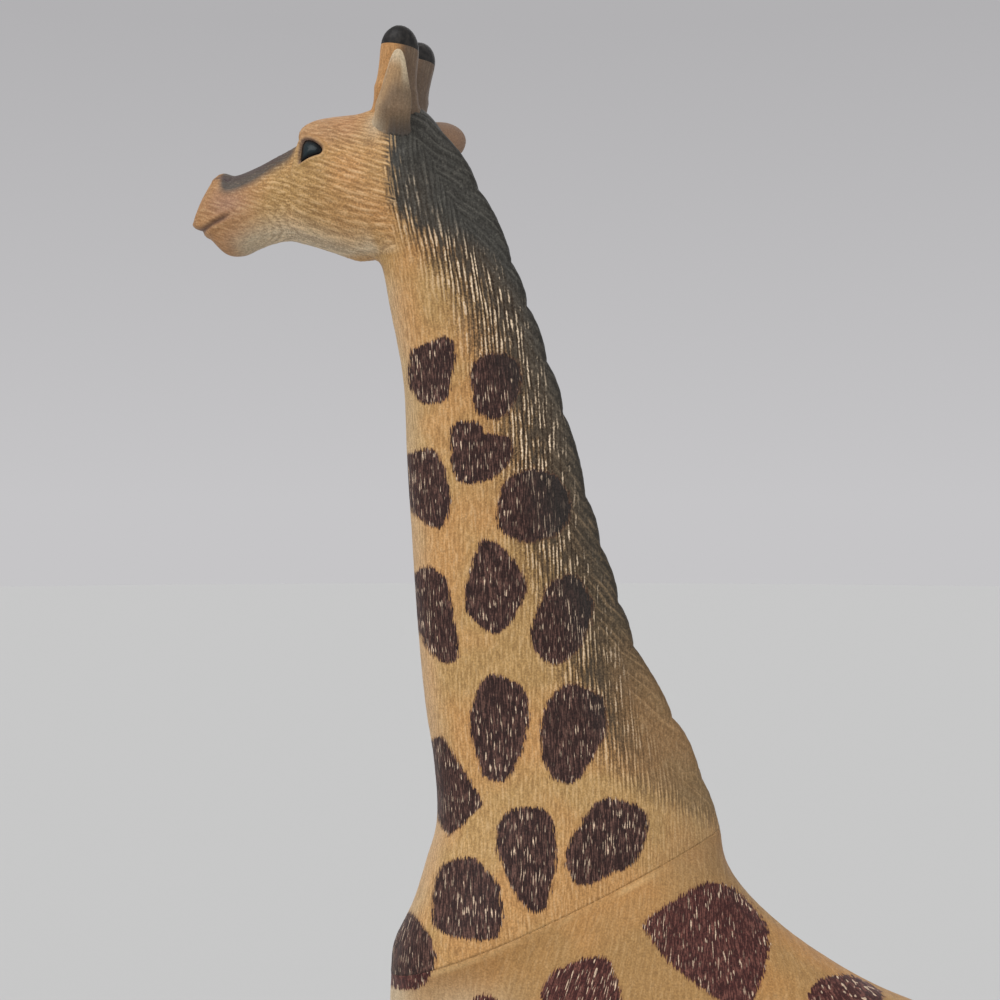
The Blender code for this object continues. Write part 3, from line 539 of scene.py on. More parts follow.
# Where each change begins and where it is complete, in mm: heights above the ground for the mane and its
# glints, and places forward or up from the throat for the head
MANE_FOOT, MANE_STEEP, FRINGE_FOOT, THIN_FOOT, THIN_ALL = (203, 189), (292, 299), (192, 214), (234, 204), (216, 203)
GLINT_FOOT, GLINT_BRIGHT, GLINT_DIM, GLINT_TOP = (196, 216), (226, 250), (290, 297), (309, 300)
MUZZLE, BROW_UP, BRIDGE_START, BRIDGE_END = (19, 27), (17, 22), (14.8, 17.5), (31.0, 29.0)
from_crest = np.linalg.norm(figure - figure[:, AROUND // 2 : AROUND // 2 + 1], axis=2).ravel()
rise = np.repeat(crest, AROUND) - 2.0 * from_crest
mane_lie = np.stack([rise / 2.2, 3 * np.tanh(flat[:, 1]), (from_crest + 0.4 * rise) / FUR_RUN], axis=1)
points = figure.reshape(-1, 3)
view = side_view(points)
height = view[:, 1]
edge = np.array(MANE_EDGE)
behind_edge = view[:, 0] - np.interp(height, edge[:, 1], edge[:, 0])
mane = np.clip(behind_edge * (1 + 1.2 * ramp(height, *MANE_STEEP)) - 2.5 * on_face, -MANE_REACH, MANE_REACH)
mane = np.clip(mane - 12 * ramp(height, *MANE_FOOT), -MANE_REACH, MANE_REACH)
glint = ramp(behind_edge, -8.0, 0.0) * ramp(behind_edge, 8.5, 4.0) * (1 - on_face) * ramp(height, *GLINT_TOP)
glint *= ramp(height, *GLINT_FOOT) * (0.6 + 0.4 * ramp(height, *GLINT_BRIGHT))
glint *= 1 - 0.6 * ramp(height, *GLINT_DIM)
fringe = bell(mane + 0.5, FRINGE_WIDTH) * (1 - on_face) * ramp(height, *FRINGE_FOOT)
thin = ramp(height, *THIN_FOOT) * np.maximum(ramp(mane, 1.0, 5.5), ramp(height, *THIN_ALL))
muzzle = ramp(forward, *MUZZLE) * on_head
near_eye = ramp(in_eye, -2.0, -0.6) * beside
fur_depth = COAT_CUT + FRINGE_CUT * fringe + FACE_CUT * on_face
fur_depth *= (1 - muzzle) * (1 - near_eye) * (1 - 0.7 * on_head * ramp(up, 19, 24))

# Where the sprayed shades go: pale front, with a painted highlight down the neck's front edge, and pale jaw, warm
# cheek and chin, dusky nose bridge, painted shade behind the neck's base, pink lip corner, and dark lines in the
# mouth, nostril and eyelids
front_gap = np.clip(view[:, 0] - np.interp(height, low[:NECK_ROWS, 1], low[:NECK_ROWS, 0]), 0, None)
jaw_gap = np.clip(up - np.interp(forward, -low[NECK_ROWS:, 0], low[NECK_ROWS:, 1] - THROAT_UP), 0, None)
crown_rows = slice(NECK_ROWS + 35 * HEAD_ROWS // 100, None)
crown_gap = np.interp(forward, -high[crown_rows, 0], high[crown_rows, 1] - THROAT_UP) - up
# painted highlight: the neck's front edge is lightened where the light falls along it
pale = 0.40 * bell(front_gap, 2.4) * ramp(height, 290, 284)
pale += 1.15 * bell(jaw_gap, 3.2) * on_face * ramp(forward, 30, 24)
pale += on_head * (0.75 * in_oval(profile, EAR_FRONT) * ramp(aside, 3.0, 5.0) + 0.25 * in_oval(profile, CHIN))
warm = on_face * (0.4 * in_oval(profile, CHEEK, 1.1) + 0.6 * in_oval(profile, CHIN) + 0.3 * ramp(up, *BROW_UP))
warm += 0.6 * muzzle
bridge = ramp(forward, *BRIDGE_START) * ramp(forward, *BRIDGE_END)
dusk = 1.1 * ramp(crown_gap, 4.8, 1.6) * bridge * on_head
dusk += 0.8 * in_oval(profile, NOSTRIL_TOP) * on_head + 0.26 * muzzle + 0.12 * on_face * ramp(up, *BROW_UP)
# painted shade: the neck is darkened brown behind its base
dusk += 0.30 * nape_shade(view) * (1 - on_head)
blush = 0.38 * in_oval(profile, LIP_CORNER) * on_head + 0.16 * on_face * ramp(up, 17, 21) * ramp(forward, 2, 6)
mouth_line = 0.62 * bell(mouth, 0.46) * ramp(forward, 27.2, 29.5)
bridge_line = 0.45 * ramp(crown_gap, 2.4, 0.5) * ramp(forward, 16, 20) * ramp(forward, 30, 28)
side_lines = beside * np.maximum(0.95 * bell(nostril, 0.55), 0.8 * bell(in_eye, 0.26))
line = on_head * np.maximum.reduce([mouth_line, bridge_line, side_lines])


# The fields that the coat's nodes read at each point: the fur's lie for each comb, the size that each depth is
# multiplied by, and what the others are on a piece that has neither mane nor markings
LIES = {"comb": "fur", "other_comb": "other_fur", "mane_comb": "mane_fur"}
DEPTHS = {"fur_depth": "Coat depth", "mane_depth": "Mane depth"}
PLAIN_FIELDS = {
    "fur_depth": 0.04, "mane_depth": 1, "bristle": 0.6, "mane": -MANE_REACH, "seam": SEAM_FAR, "spot": -SPOT_REACH,
    "to_other": 0, "to_front": 0, "low_mane": 0, "thin": 0, "glint": 0,
    "pale": 0, "warm": 0, "dusk": 0, "blush": 0, "line": 0,
}


def coat_fields(comb, fur, **fields):
    """Every field of the coat: its comb and its lie, the ones given, and the others plain."""
    every = {name: np.full(len(comb), float(value)) for name, value in PLAIN_FIELDS.items()}
    return {**every, **dict.fromkeys(LIES, comb), **dict.fromkeys(LIES.values(), fur), **fields}


def product(tree, *factors):
    """The product of its factors: values, or values with the ends of a ramp and what it gives at each end."""
    total = None
    for factor in factors:
        if isinstance(factor, tuple):
            factor = node(tree, "ShaderNodeMapRange", factor)
        total = factor if total is None else node(tree, "ShaderNodeMath", (total, factor), operation="MULTIPLY")
    return total


def strokes(tree, comb, lie):
    """Long wavy ridges from 0 to 1, about one for each step of the comb, and the chance that breaks them."""
    sway = product(tree, node(tree, "ShaderNodeTexNoise", (lie, 0.45, 3.0)), 13.0)
    count = node(tree, "ShaderNodeMath", (comb, 2 * math.pi, sway), operation="MULTIPLY_ADD")
    wave = node(tree, "ShaderNodeMath", (count,), operation="SINE")
    ridge = node(tree, "ShaderNodeMath", (wave, 0.5, 0.5), operation="MULTIPLY_ADD")
    chance = node(tree, "ShaderNodeTexNoise", (lie, 1.6, 1.0))
    return product(tree, ridge, (chance, 0.34, 0.60, 0.10, 1.0)), chance


def mane_cover(tree, mane, coat):
    """How much of the mane's dark paint covers a place: it fades out in the valleys between strokes."""
    soft = node(tree, "ShaderNodeMapRange", (mane, -7.0, 7.0))
    rest = node(tree, "ShaderNodeMath", (1.0, soft), operation="SUBTRACT")
    below = node(tree, "ShaderNodeMath", (0.45, coat), operation="SUBTRACT")
    pushed = node(tree, "ShaderNodeMath", (soft, product(tree, soft, rest, 2.4, below)), operation="ADD")
    return node(tree, "ShaderNodeMapRange", (pushed, 0.22, 0.78))


def wandering(tree, share, place, most):
    """A border drawn as a ragged line instead of a soft one, which wanders over lumps 1.6 mm across."""
    lumps = node(tree, "ShaderNodeTexNoise", (place, 1 / (1.6 * MM), 1.0))
    moved = node(tree, "ShaderNodeMath", (lumps, most, share), operation="MULTIPLY_ADD")
    middle = 0.5 + 0.5 * most
    return node(tree, "ShaderNodeMapRange", (moved, middle - 0.08, middle + 0.08))


def fur_strokes(tree, kept, place):
    """The coat's and the mane's strokes, each with its chance. The coat's change their lie at the face."""
    drawn = [strokes(tree, kept[comb], kept[lie]) for comb, lie in LIES.items()]
    to_face, to_front = wandering(tree, kept["to_other"], place, 1.4), wandering(tree, kept["to_front"], place, 1.2)
    coat = [node(tree, "ShaderNodeMix", (to_face, *pair)) for pair in zip(drawn[0], drawn[1])]
    return coat, [node(tree, "ShaderNodeMix", (to_front, *pair)) for pair in zip(drawn[2], coat)], to_face


def engraved_coat():
    """The node tree that cuts the fur's strokes into a skin, coat and mane each to their own depth."""
    tree = bpy.data.node_groups.new("engraved_coat", "GeometryNodeTree")
    for name, kind, side in (
        ("Skin", "Geometry", "INPUT"), ("Coat depth", "Float", "INPUT"), ("Mane depth", "Float", "INPUT"),
        ("Paint", "Material", "INPUT"), ("Skin", "Geometry", "OUTPUT"),
    ):
        tree.interface.new_socket(name, in_out=side, socket_type=f"NodeSocket{kind}")
    given = node(tree, "NodeGroupInput").outputs
    kinds = dict.fromkeys((*LIES, *DEPTHS, "to_other", "to_front", "mane"), "FLOAT")
    kinds.update(dict.fromkeys(LIES.values(), "FLOAT_VECTOR"))
    kept = {
        name: node(tree, "GeometryNodeInputNamedAttribute", (name,), data_type=kind).outputs[0]
        for name, kind in kinds.items()
    }
    (coat, _), (mane_strokes, _), _ = fur_strokes(tree, kept, node(tree, "GeometryNodeInputPosition"))
    cover = mane_cover(tree, kept["mane"], coat)
    depths = [product(tree, kept[name], given[size]) for name, size in DEPTHS.items()]
    depth = node(tree, "ShaderNodeMix", (cover, *depths))
    relief = node(tree, "ShaderNodeMix", (cover, coat, mane_strokes))
    relief = node(tree, "ShaderNodeMath", (relief, 0.4), operation="SUBTRACT")
    lift = (node(tree, "GeometryNodeInputNormal"), product(tree, relief, depth, MM))
    offset = node(tree, "ShaderNodeVectorMath", lift, operation="SCALE")
    moved = node(tree, "GeometryNodeSetPosition", {"Geometry": given["Skin"], "Offset": offset})
    real = node(tree, "GeometryNodeRealizeInstances", (moved,))
    painted = node(tree, "GeometryNodeSetMaterial", {"Geometry": real, "Material": given["Paint"]})
    node(tree, "NodeGroupOutput", (painted,))
    return tree


ENGRAVING = engraved_coat()


def engrave(piece, paint, coat_depth=1.0, mane_depth=0.22):
    """Cuts the strokes into the piece's mesh and paints it. The coat's depth is a share, the mane's is in mm."""
    change = piece.modifiers.new("engraving", "NODES")
    change.node_group = ENGRAVING
    wanted = {"Coat depth": coat_depth, "Mane depth": mane_depth, "Paint": paint}
    for item in ENGRAVING.interface.items_tree:
        if item.in_out == "INPUT" and item.name in wanted:
            change[item.identifier] = wanted[item.name]
    graph = bpy.context.evaluated_depsgraph_get()
    mesh = bpy.data.meshes.new_from_object(piece.evaluated_get(graph))
    piece.modifiers.clear()
    piece.data = mesh
    return piece


# Painted vinyl: a satin PVC skin, sprayed tan in two tones. It is darker in the strokes' cuts and lighter on
# their ridges, partly a wash and dry-brushing and partly painted shade and painted highlight. It gives a soft
# broad sheen without any mirror.
TAN, OLIVE_TAN, PALE_TAN, WARM_TAN, BLUSH = "#c5945c", "#bb955f", "#cebb9d", "#bf8756", "#a9817e"
DUSK, CUT_WASH_AND_SHADE, RIDGE_BRUSH_AND_HIGHLIGHT = "#57504a", "#664423", "#e3c194"
# the mane's gap colour and the fringe's dark colour are painted shade, and the glint colour is painted highlight
MANE_GREY, MANE_STROKE, MANE_BROWN, MANE_TAN, MANE_GAP_SHADE = "#43413c", "#77736a", "#4e4335", "#a88b67", "#24211c"
FRINGE_CUT_SHADE, FRINGE_BROWN, GLINT = "#2f2013", "#6d563d", "#e6ceb0"
SPOT_BROWN, SPOT_STREAK, SPOT_HALO = "#301c19", "#62453c", "#6f3d28"
SPOT_SCRATCH, SPOT_SHADED = "#d0b69c", "#2e2926"
LINE_DARK = "#4e3e42"
# the seam's dark colour is painted shade in its groove, and its light one a painted highlight on the lip
SEAM_SHADE, SEAM_HIGHLIGHT = "#94663a", "#d9b27c"

# Clouds in the paint, with how many mm they are across and their detail, and clouds drawn out along the fur,
# with their scale, their detail and how much of the fur's run they count
CLOUDS = {
    "tans": (14.0, 2.0), "scratched": (5.0, 2.0), "seam": (9.0, 2.0), "sheen": (3.0, 2.0), "dust": (0.5, 3.0),
    "grain": (0.30, 2.0),
}
COMBED = {"fine": (2.9, 2.0, 1.0), "teeth": (4.4, 2.0, 0.7), "streaks": (4.8, 1.0, 0.6), "scratch": (4.4, 0.0, 0.6)}


def sprayed(tree, ground, shade, *factors):
    """A shade, as a hex colour or from a node, over a ground, as thick as the product of the factors."""
    ground, shade = [linear(colour) if isinstance(colour, str) else colour for colour in (ground, shade)]
    return node(tree, "ShaderNodeMix", (product(tree, *factors), ground, shade), data_type="RGBA")


def coat_paint(name, tan=TAN, other_tan=OLIVE_TAN, spot_brown=SPOT_BROWN, spot_streak=SPOT_STREAK):
    """The coat's paint, which reads where each shade goes from the mesh."""
    paint, tree = new_paint(name)
    where = node(tree, "ShaderNodeTexCoord").outputs["Object"]
    kept = {
        field: node(tree, "ShaderNodeAttribute", attribute_name=field).outputs[output]
        for output, fields in (("Fac", (*LIES, *PLAIN_FIELDS)), ("Vector", LIES.values())) for field in fields
    }
    (coat, chance), (mane_strokes, mane_chance), to_face = fur_strokes(tree, kept, where)
    mane, low_mane, glint = kept["mane"], kept["low_mane"], kept["glint"]
    cover = mane_cover(tree, mane, coat)
    clouds = {
        use: node(tree, "ShaderNodeTexNoise", (where, 1 / (across * MM), detail))
        for use, (across, detail) in CLOUDS.items()
    }
    combed = {}
    for use, (scale, detail, run) in COMBED.items():
        drawn = [
            node(tree, "ShaderNodeVectorMath", (kept[lie], (1, 1, run)), operation="MULTIPLY")
            for lie in ("fur", "other_fur")
        ]
        drawn = [node(tree, "ShaderNodeTexNoise", (lie, scale, detail)) for lie in drawn]
        combed[use] = node(tree, "ShaderNodeMix", (to_face, *drawn))
    fine = combed["fine"]
    grain = node(tree, "ShaderNodeMath", (clouds["grain"], 0.5), operation="SUBTRACT")
    ragged = node(tree, "ShaderNodeMath", (grain, 1.3, coat), operation="MULTIPLY_ADD")

    # two tans lie in clouds under the sprayed shades, and the strokes are darker in their cuts and lighter on their
    # ridges: partly wash and dry-brushing, partly painted shade and painted highlight
    colour = sprayed(tree, other_tan, tan, (clouds["tans"], 0.42, 0.6))
    for field, shade in (("warm", WARM_TAN), ("blush", BLUSH), ("pale", PALE_TAN), ("dusk", DUSK)):
        colour = sprayed(tree, colour, shade, kept[field])
    plain = product(tree, (kept["dusk"], 0.0, 1.0, 1.0, 0.25), kept["bristle"])
    strength = product(tree, (kept["fur_depth"], 0.03, 0.21, 0.10, 0.80))
    # painted shade in the cuts and painted highlight on the ridges, partly wash and dry-brushing in the paint
    colour = sprayed(tree, colour, CUT_WASH_AND_SHADE, (fine, 0.32, 0.50, 0.34, 0.0), plain)
    colour = sprayed(tree, colour, RIDGE_BRUSH_AND_HIGHLIGHT, (fine, 0.52, 0.70, 0.0, 0.32), plain)
    colour = sprayed(tree, colour, CUT_WASH_AND_SHADE, (ragged, 0.0, 0.34, 1.0, 0.0), strength)
    colour = sprayed(tree, colour, RIDGE_BRUSH_AND_HIGHLIGHT, (ragged, 0.45, 0.95), (fine, 0.36, 0.52), plain, strength)

    # the mane is grey above and turns brown lower on the neck, where it thins out behind its front edge. Few
    # of its strokes are brushed light. The cuts between its strokes and the edge of its crest are darkened as
    # painted shade. Its fringe is dark in the cuts, as painted shade, and has thin glints, painted highlights,
    # on their ridges.
    ground = sprayed(tree, MANE_GREY, MANE_BROWN, low_mane)
    # painted shade: darker in the cuts between the mane's strokes
    ground = sprayed(tree, ground, MANE_GAP_SHADE, (mane_strokes, 0.0, 0.28, 0.55, 0.0))
    brushed = product(tree, (mane_strokes, 0.50, 0.95), (mane_chance, 0.46, 0.56), (low_mane, 0.0, 1.0, 0.30, 0.38))
    dusty = product(tree, (clouds["dust"], 0.42, 0.70, 0.0, 0.35), (fine, 0.40, 0.60))
    light = node(tree, "ShaderNodeMath", (brushed, dusty), operation="MAXIMUM")
    ground = sprayed(tree, ground, sprayed(tree, MANE_STROKE, MANE_TAN, low_mane), light)
    # painted shade: a dark line along the crest, where the mane turns away from the light and its depth is least
    ground = sprayed(tree, ground, MANE_GAP_SHADE, (kept["mane_depth"], 0.35, 0.45, 0.55, 0.0))
    covering = product(tree, cover, (kept["thin"], 0.0, 1.0, 1.0, 0.50))
    colour = sprayed(tree, colour, ground, covering)
    colour = sprayed(tree, colour, FRINGE_BROWN, glint, 0.30)
    # painted shade: the fringe is darkened in its cuts
    colour = sprayed(tree, colour, FRINGE_CUT_SHADE, (ragged, 0.02, 0.34, 0.90, 0.0), (chance, 0.36, 0.50), glint)
    tips = node(tree, "ShaderNodeMath", (mane, -0.012, chance), operation="MULTIPLY_ADD")
    # painted highlight: thin glints on the fringe's ridges
    colour = sprayed(tree, colour, GLINT, (ragged, 0.60, 0.92), (tips, 0.42, 0.56), glint)

    # each spot ends in teeth that follow the fur, has a thin red-brown halo, and is streaked inside
    teeth = node(tree, "ShaderNodeMath", (combed["teeth"], 0.5), operation="SUBTRACT")
    spot = node(tree, "ShaderNodeMath", (teeth, 2.4, kept["spot"]), operation="MULTIPLY_ADD")
    from_rim = node(tree, "ShaderNodeMath", (spot,), operation="ABSOLUTE")
    colour = sprayed(tree, colour, SPOT_HALO, (from_rim, 0.06, 0.32, 1.0, 0.0), 0.4)
    inside = sprayed(tree, spot_brown, spot_streak, (combed["streaks"], 0.48, 0.64))
    inside = sprayed(tree, inside, SPOT_SHADED, (mane, -3.0, 3.5, 0.0, 0.88))
    scratched = (combed["scratch"], 0.67, 0.73), (clouds["scratched"], 0.36, 0.54), (mane, -1.0, 5.0, 1.0, 0.15)
    inside = sprayed(tree, inside, SPOT_SCRATCH, *scratched)
    in_spot = product(tree, (spot, -0.05, 0.07))
    colour = sprayed(tree, colour, inside, in_spot)
    colour = sprayed(tree, colour, LINE_DARK, kept["line"])

    # the seam is a thin darker line, painted shade in its groove, with a painted highlight on the light lip under
    # it, and spots are painted across it
    open_seam = product(tree, (clouds["seam"], 0.38, 0.62, 0.1, 1.0), (in_spot, 0.0, 1.0, 1.0, 0.0))
    lip, line = (0.55, (0.12, 0.80, 0.85, 0.0), SEAM_HIGHLIGHT), (-0.10, (0.08, 0.34, 0.22, 0.0), SEAM_SHADE)
    for above, fade, shade in (lip, line):
        shifted = node(tree, "ShaderNodeMath", (kept["seam"], above), operation="ADD")
        away = node(tree, "ShaderNodeMath", (shifted,), operation="ABSOLUTE")
        colour = sprayed(tree, colour, shade, (away, *fade), open_seam)

    # the whole surface is grainy, the dark paint most, like a dry spray
    depth = 0.85
    for covered, most in ((covering, 2.0), (in_spot, 2.4), (glint, 1.8)):
        depth = node(tree, "ShaderNodeMath", (depth, product(tree, covered, most)), operation="MAXIMUM")
    shade = node(tree, "ShaderNodeMath", (grain, depth, 1.0), operation="MULTIPLY_ADD")
    colour = node(tree, "ShaderNodeVectorMath", (colour, shade), operation="SCALE")
    rough = node(tree, "ShaderNodeMapRange", (clouds["sheen"], 0.3, 0.7, 0.48, 0.62))
    hair = product(tree, grain, 0.8)
    for relief, tall in ((coat, 0.4), (fine, 1.2)):
        hair = node(tree, "ShaderNodeMath", (relief, tall, hair), operation="MULTIPLY_ADD")
    bump = node(tree, "ShaderNodeBump", {"Strength": 0.45, "Distance": 0.10 * MM, "Height": hair})
    satin = {"Base Color": colour, "Roughness": rough, "Specular IOR Level": 0.24, "Normal": bump}
    node(tree, "ShaderNodeOutputMaterial", (node(tree, "ShaderNodeBsdfPrincipled", satin),))
    return paint


neck_paint = coat_paint("sprayed_satin_vinyl_neck")
skin = grid_mesh("neck_and_head_skin", figure)
store(skin, **coat_fields(
    unrolled / FUR_STROKE, lie, other_comb=face_comb, other_fur=face_lie, to_other=on_face,
    bristle=np.ones(len(mane)), mane_comb=rise / MANE_STROKE_WIDTH, mane_fur=mane_lie,
    to_front=ramp(from_crest, 4.5, 8.5),
    mane=mane, low_mane=ramp(height, 290, 225), thin=thin, glint=glint,
    mane_depth=0.35 + 0.65 * ramp(from_crest, 1.0, 4.5), fur_depth=fur_depth,
    pale=pale, warm=np.clip(warm, 0, 1), dusk=np.clip(dusk, 0, 1), blush=blush, line=line,
    seam=from_seam(points), spot=np.where(on_head > 0.5, -SPOT_REACH, drawn_spots(points)),
))
whole = engrave(new_object("neck_and_head_skin", skin), neck_paint)

# The skin is parted in one ring at the throat, and both parts keep the whole skin's shading there
shading = np.zeros(len(whole.data.vertices) * 3)
whole.data.vertex_normals.foreach_get("vector", shading)
shading = shading.reshape(-1, 3)
ring_of = np.arange(len(shading)) // AROUND
for name, first, last in (("neck_moulding", 0, NECK_ROWS - 1), ("head_moulding", NECK_ROWS - 1, len(rows) - 1)):
    build = bmesh.new()
    build.from_mesh(whole.data)
    keep = (ring_of >= first) & (ring_of <= last)
    build.verts.ensure_lookup_table()
    bmesh.ops.delete(build, geom=[v for v in build.verts if not keep[v.index]], context="VERTS")
    mesh = bpy.data.meshes.new(name)
    build.to_mesh(mesh)
    build.free()
    mesh.materials.append(neck_paint)
    mesh.normals_split_custom_set_from_vertices(shading[keep].tolist())
    part = new_object(name, mesh)
    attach(part, "root")
    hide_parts("neck_and_head")
bpy.data.objects.remove(whole)

# The two horns, short solid knobs moulded in one with the crown, so their skin runs out into the forehead.
# The shafts are tan in front and grey-brown behind, the grey-brown being painted shade on the side turned from
# the light, and the far horn is darker all over as painted shade. The domed tips are dipped in black.
HORN_BACK = {"left": 1.7, "right": 1.3}
HORN_LENGTH, HORN_RADIUS = 12.4, 2.9
HORN_LEAN, HORN_SPLAY, HORN_FLARE = 10.0, 12.0, 0.20
HORN_CAP_SHARE, HORN_CAP_SLANT = 0.70, 0.17
HORN_BLACK, HORN_WORN = "#161413", "#302c29"
SIDES = {"left": -1, "right": 1}
HORN_SHARES = (
    (0.00, 2.05), (0.06, 1.66), (0.13, 1.38), (0.24, 1.20), (0.38, 1.12), (0.54, 1.10), (0.68, 1.10),
    (0.78, 1.05), (0.86, 0.92), (0.93, 0.70), (0.98, 0.40), (1.00, 0.10),
)


def on_the_head(forward, side, up):
    """A place on the turned head, so far forward, to the right and up from the throat."""
    return turned(np.array([-forward, side, THROAT_UP + up], float), 1.0)


def head_way(forward, side, up):
    """A direction of length one on the turned head."""
    way = on_the_head(forward, side, up) - on_the_head(0, 0, 0)
    return way / np.linalg.norm(way)


def tube(middles, across, along, count):
    """A grid of oval rings round their middles, whose two half axes are given."""
    turn = 2 * math.pi * np.arange(count) / count
    return (
        np.asarray(middles)[:, None, :]
        + np.asarray(across)[:, None, :] * np.cos(turn)[None, :, None]
        + np.asarray(along)[:, None, :] * np.sin(turn)[None, :, None]
    )


def tube_fields(points, run, around, fur_depth):
    """The coat's fields for a tube whose fur runs along it, so many strokes round it."""
    count = points.shape[1]
    radius = np.linalg.norm(points - points.mean(axis=1, keepdims=True), axis=2)
    turn = 2 * math.pi * np.arange(count) / count
    run = np.broadcast_to(run[:, None] / FUR_RUN, radius.shape)
    lies = np.stack([radius * np.cos(turn), radius * np.sin(turn), run], -1).reshape(-1, 3)
    comb = np.broadcast_to(np.arange(count) / count * around, radius.shape).ravel()
    return coat_fields(comb, lies, fur_depth=np.full(len(comb), fur_depth))


def settle(piece, slot, *nodes):
    """Hands a finished piece over: it rides on the figure and stands for its nodes, which are hidden. The slot is not
    used.
    """
    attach(piece, "root")
    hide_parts(*nodes)


head_skin = figure[NECK_ROWS:]
count = np.arange(head_skin.shape[0] * AROUND).reshape(-1, AROUND)
beyond = np.roll(count, -1, axis=1)
head_tree = BVHTree.FromPolygons(
    [Vector(p) for p in head_skin.reshape(-1, 3)],
    np.stack([count[:-1], beyond[:-1], beyond[1:], count[1:]], axis=-1).reshape(-1, 4).tolist(),
)


def rooted(rings, shares, flare):
    """The rings of a tube drawn down to the head's skin, the first one fully, and less up to the flare."""
    pulled = rings.copy()
    for index, share in enumerate(shares):
        pull = 1 - float(ramp(share, 0.0, flare))
        for turn_index, point in enumerate(rings[index] if pull > 0 else ()):
            at, out_of_skin = head_tree.find_nearest(Vector(point))[:2]
            inward = 1 if (at - Vector(head_middle)).dot(out_of_skin) < 0 else -1
            pulled[index, turn_index] += (np.array(at + out_of_skin * inward * 0.25) - point) * pull
    return pulled


head_middle = on_the_head(1.0, 0.0, 17.0)

# Dipped vinyl paint: a thick black coat with a dull sheen, which is worn to grey in clouds 0.9 mm across
cap_paint, tree = new_paint("dipped_black_vinyl_paint")
where = node(tree, "ShaderNodeTexCoord").outputs["Object"]
worn = product(tree, (node(tree, "ShaderNodeTexNoise", (where, 1 / (0.9 * MM), 3.0)), 0.42, 0.70))
black = sprayed(tree, HORN_BLACK, HORN_WORN, worn)
bump = node(tree, "ShaderNodeBump", {"Strength": 0.4, "Distance": 0.08 * MM, "Height": worn})
dull = {"Base Color": black, "Roughness": 0.50, "Specular IOR Level": 0.3, "Normal": bump}
node(tree, "ShaderNodeOutputMaterial", (node(tree, "ShaderNodeBsdfPrincipled", dull),))

for side, sign in SIDES.items():
    table = smooth_rows(HORN_SHARES, 6)
    foot = on_the_head(-HORN_BACK[side], sign * HORN_SIDE, HORN_FOOT_UP)
    lean, splay = math.tan(math.radians(HORN_LEAN)), math.tan(math.radians(HORN_SPLAY))
    reach = (on_the_head(-lean, sign * splay, 1) - on_the_head(0, 0, 0)) * HORN_LENGTH
    radius = table[:, 1:] * HORN_RADIUS
    horn = tube(foot + table[:, :1] * reach, radius * (1, 0, -HORN_CAP_SLANT), radius * (0, 1, 0), 72)
    fields = tube_fields(horn, table[:, 0] * HORN_LENGTH, 17, 0.04)
    behind = (horn.reshape(-1, 3)[:, 0] - np.repeat((foot + table[:, :1] * reach)[:, 0], 72)) / HORN_RADIUS
    # painted shade: each shaft darkens behind, away from the light, and the far horn is darker all over
    fields["dusk"] = ramp(behind, -0.3, 0.5) * 0.85 if side == "left" else 0.6 + 0.3 * ramp(behind, -0.8, 0.6)
    fields["warm"] = fields["warm"] + 0.6
    mesh = grid_mesh(f"horn_{side}", rooted(horn, table[:, 0], HORN_FLARE))
    store(mesh, **fields)
    piece = engrave(new_object(f"horn_{side}", mesh), neck_paint)
    piece.data.materials.append(cap_paint)
    dipped = [min(face.vertices) // 72 for face in piece.data.polygons]
    dipped = table[np.minimum(dipped, len(table) - 1), 0] >= HORN_CAP_SHARE
    piece.data.polygons.foreach_set("material_index", dipped.astype(np.int32))
    settle(piece, "neck_coat", "neck_and_head")

# The ears, thin cupped leaves of soft vinyl pressed into slots behind the horns and filled over. The near one
# stands up with its hollow turned away, and the far one lies back. Rims are brushed pale. The near ear's tip is
# lighter as a painted highlight, and one side of it darker as painted shade.
EAR_FEET = {"left": (2.0, 6.2, 21.4), "right": (2.0, 5.2, 20.4)}
EAR_LENGTHS = {"left": 12.7, "right": 14.0}
EAR_HALF_WIDTH, EAR_THICKNESS, EAR_CUP, EAR_FLARE = 3.1, 1.15, 1.2, 0.28
EAR_POINTING = {"left": (-0.25, -0.34, 1.00), "right": (-0.40, 0.90, 0.22)}
EAR_ACROSS = {"left": (-0.95, -0.30, 0.00), "right": (0.00, -0.20, 1.00)}
EAR_SHARES = {
    "left": (
        (0.00, 1.45, 2.90), (0.10, 1.28, 2.10), (0.22, 1.14, 1.55), (0.38, 1.02, 1.20), (0.58, 0.80, 0.95),
        (0.78, 0.56, 0.75), (0.90, 0.40, 0.58), (0.97, 0.25, 0.38), (1.00, 0.08, 0.14),
    ),
    "right": (
        (0.00, 1.20, 2.20), (0.08, 1.12, 1.80), (0.18, 1.08, 1.50), (0.36, 1.14, 1.35), (0.58, 1.16, 1.30),
        (0.76, 1.06, 1.15), (0.90, 0.80, 0.90), (0.97, 0.46, 0.55), (1.00, 0.12, 0.20),
    ),
}

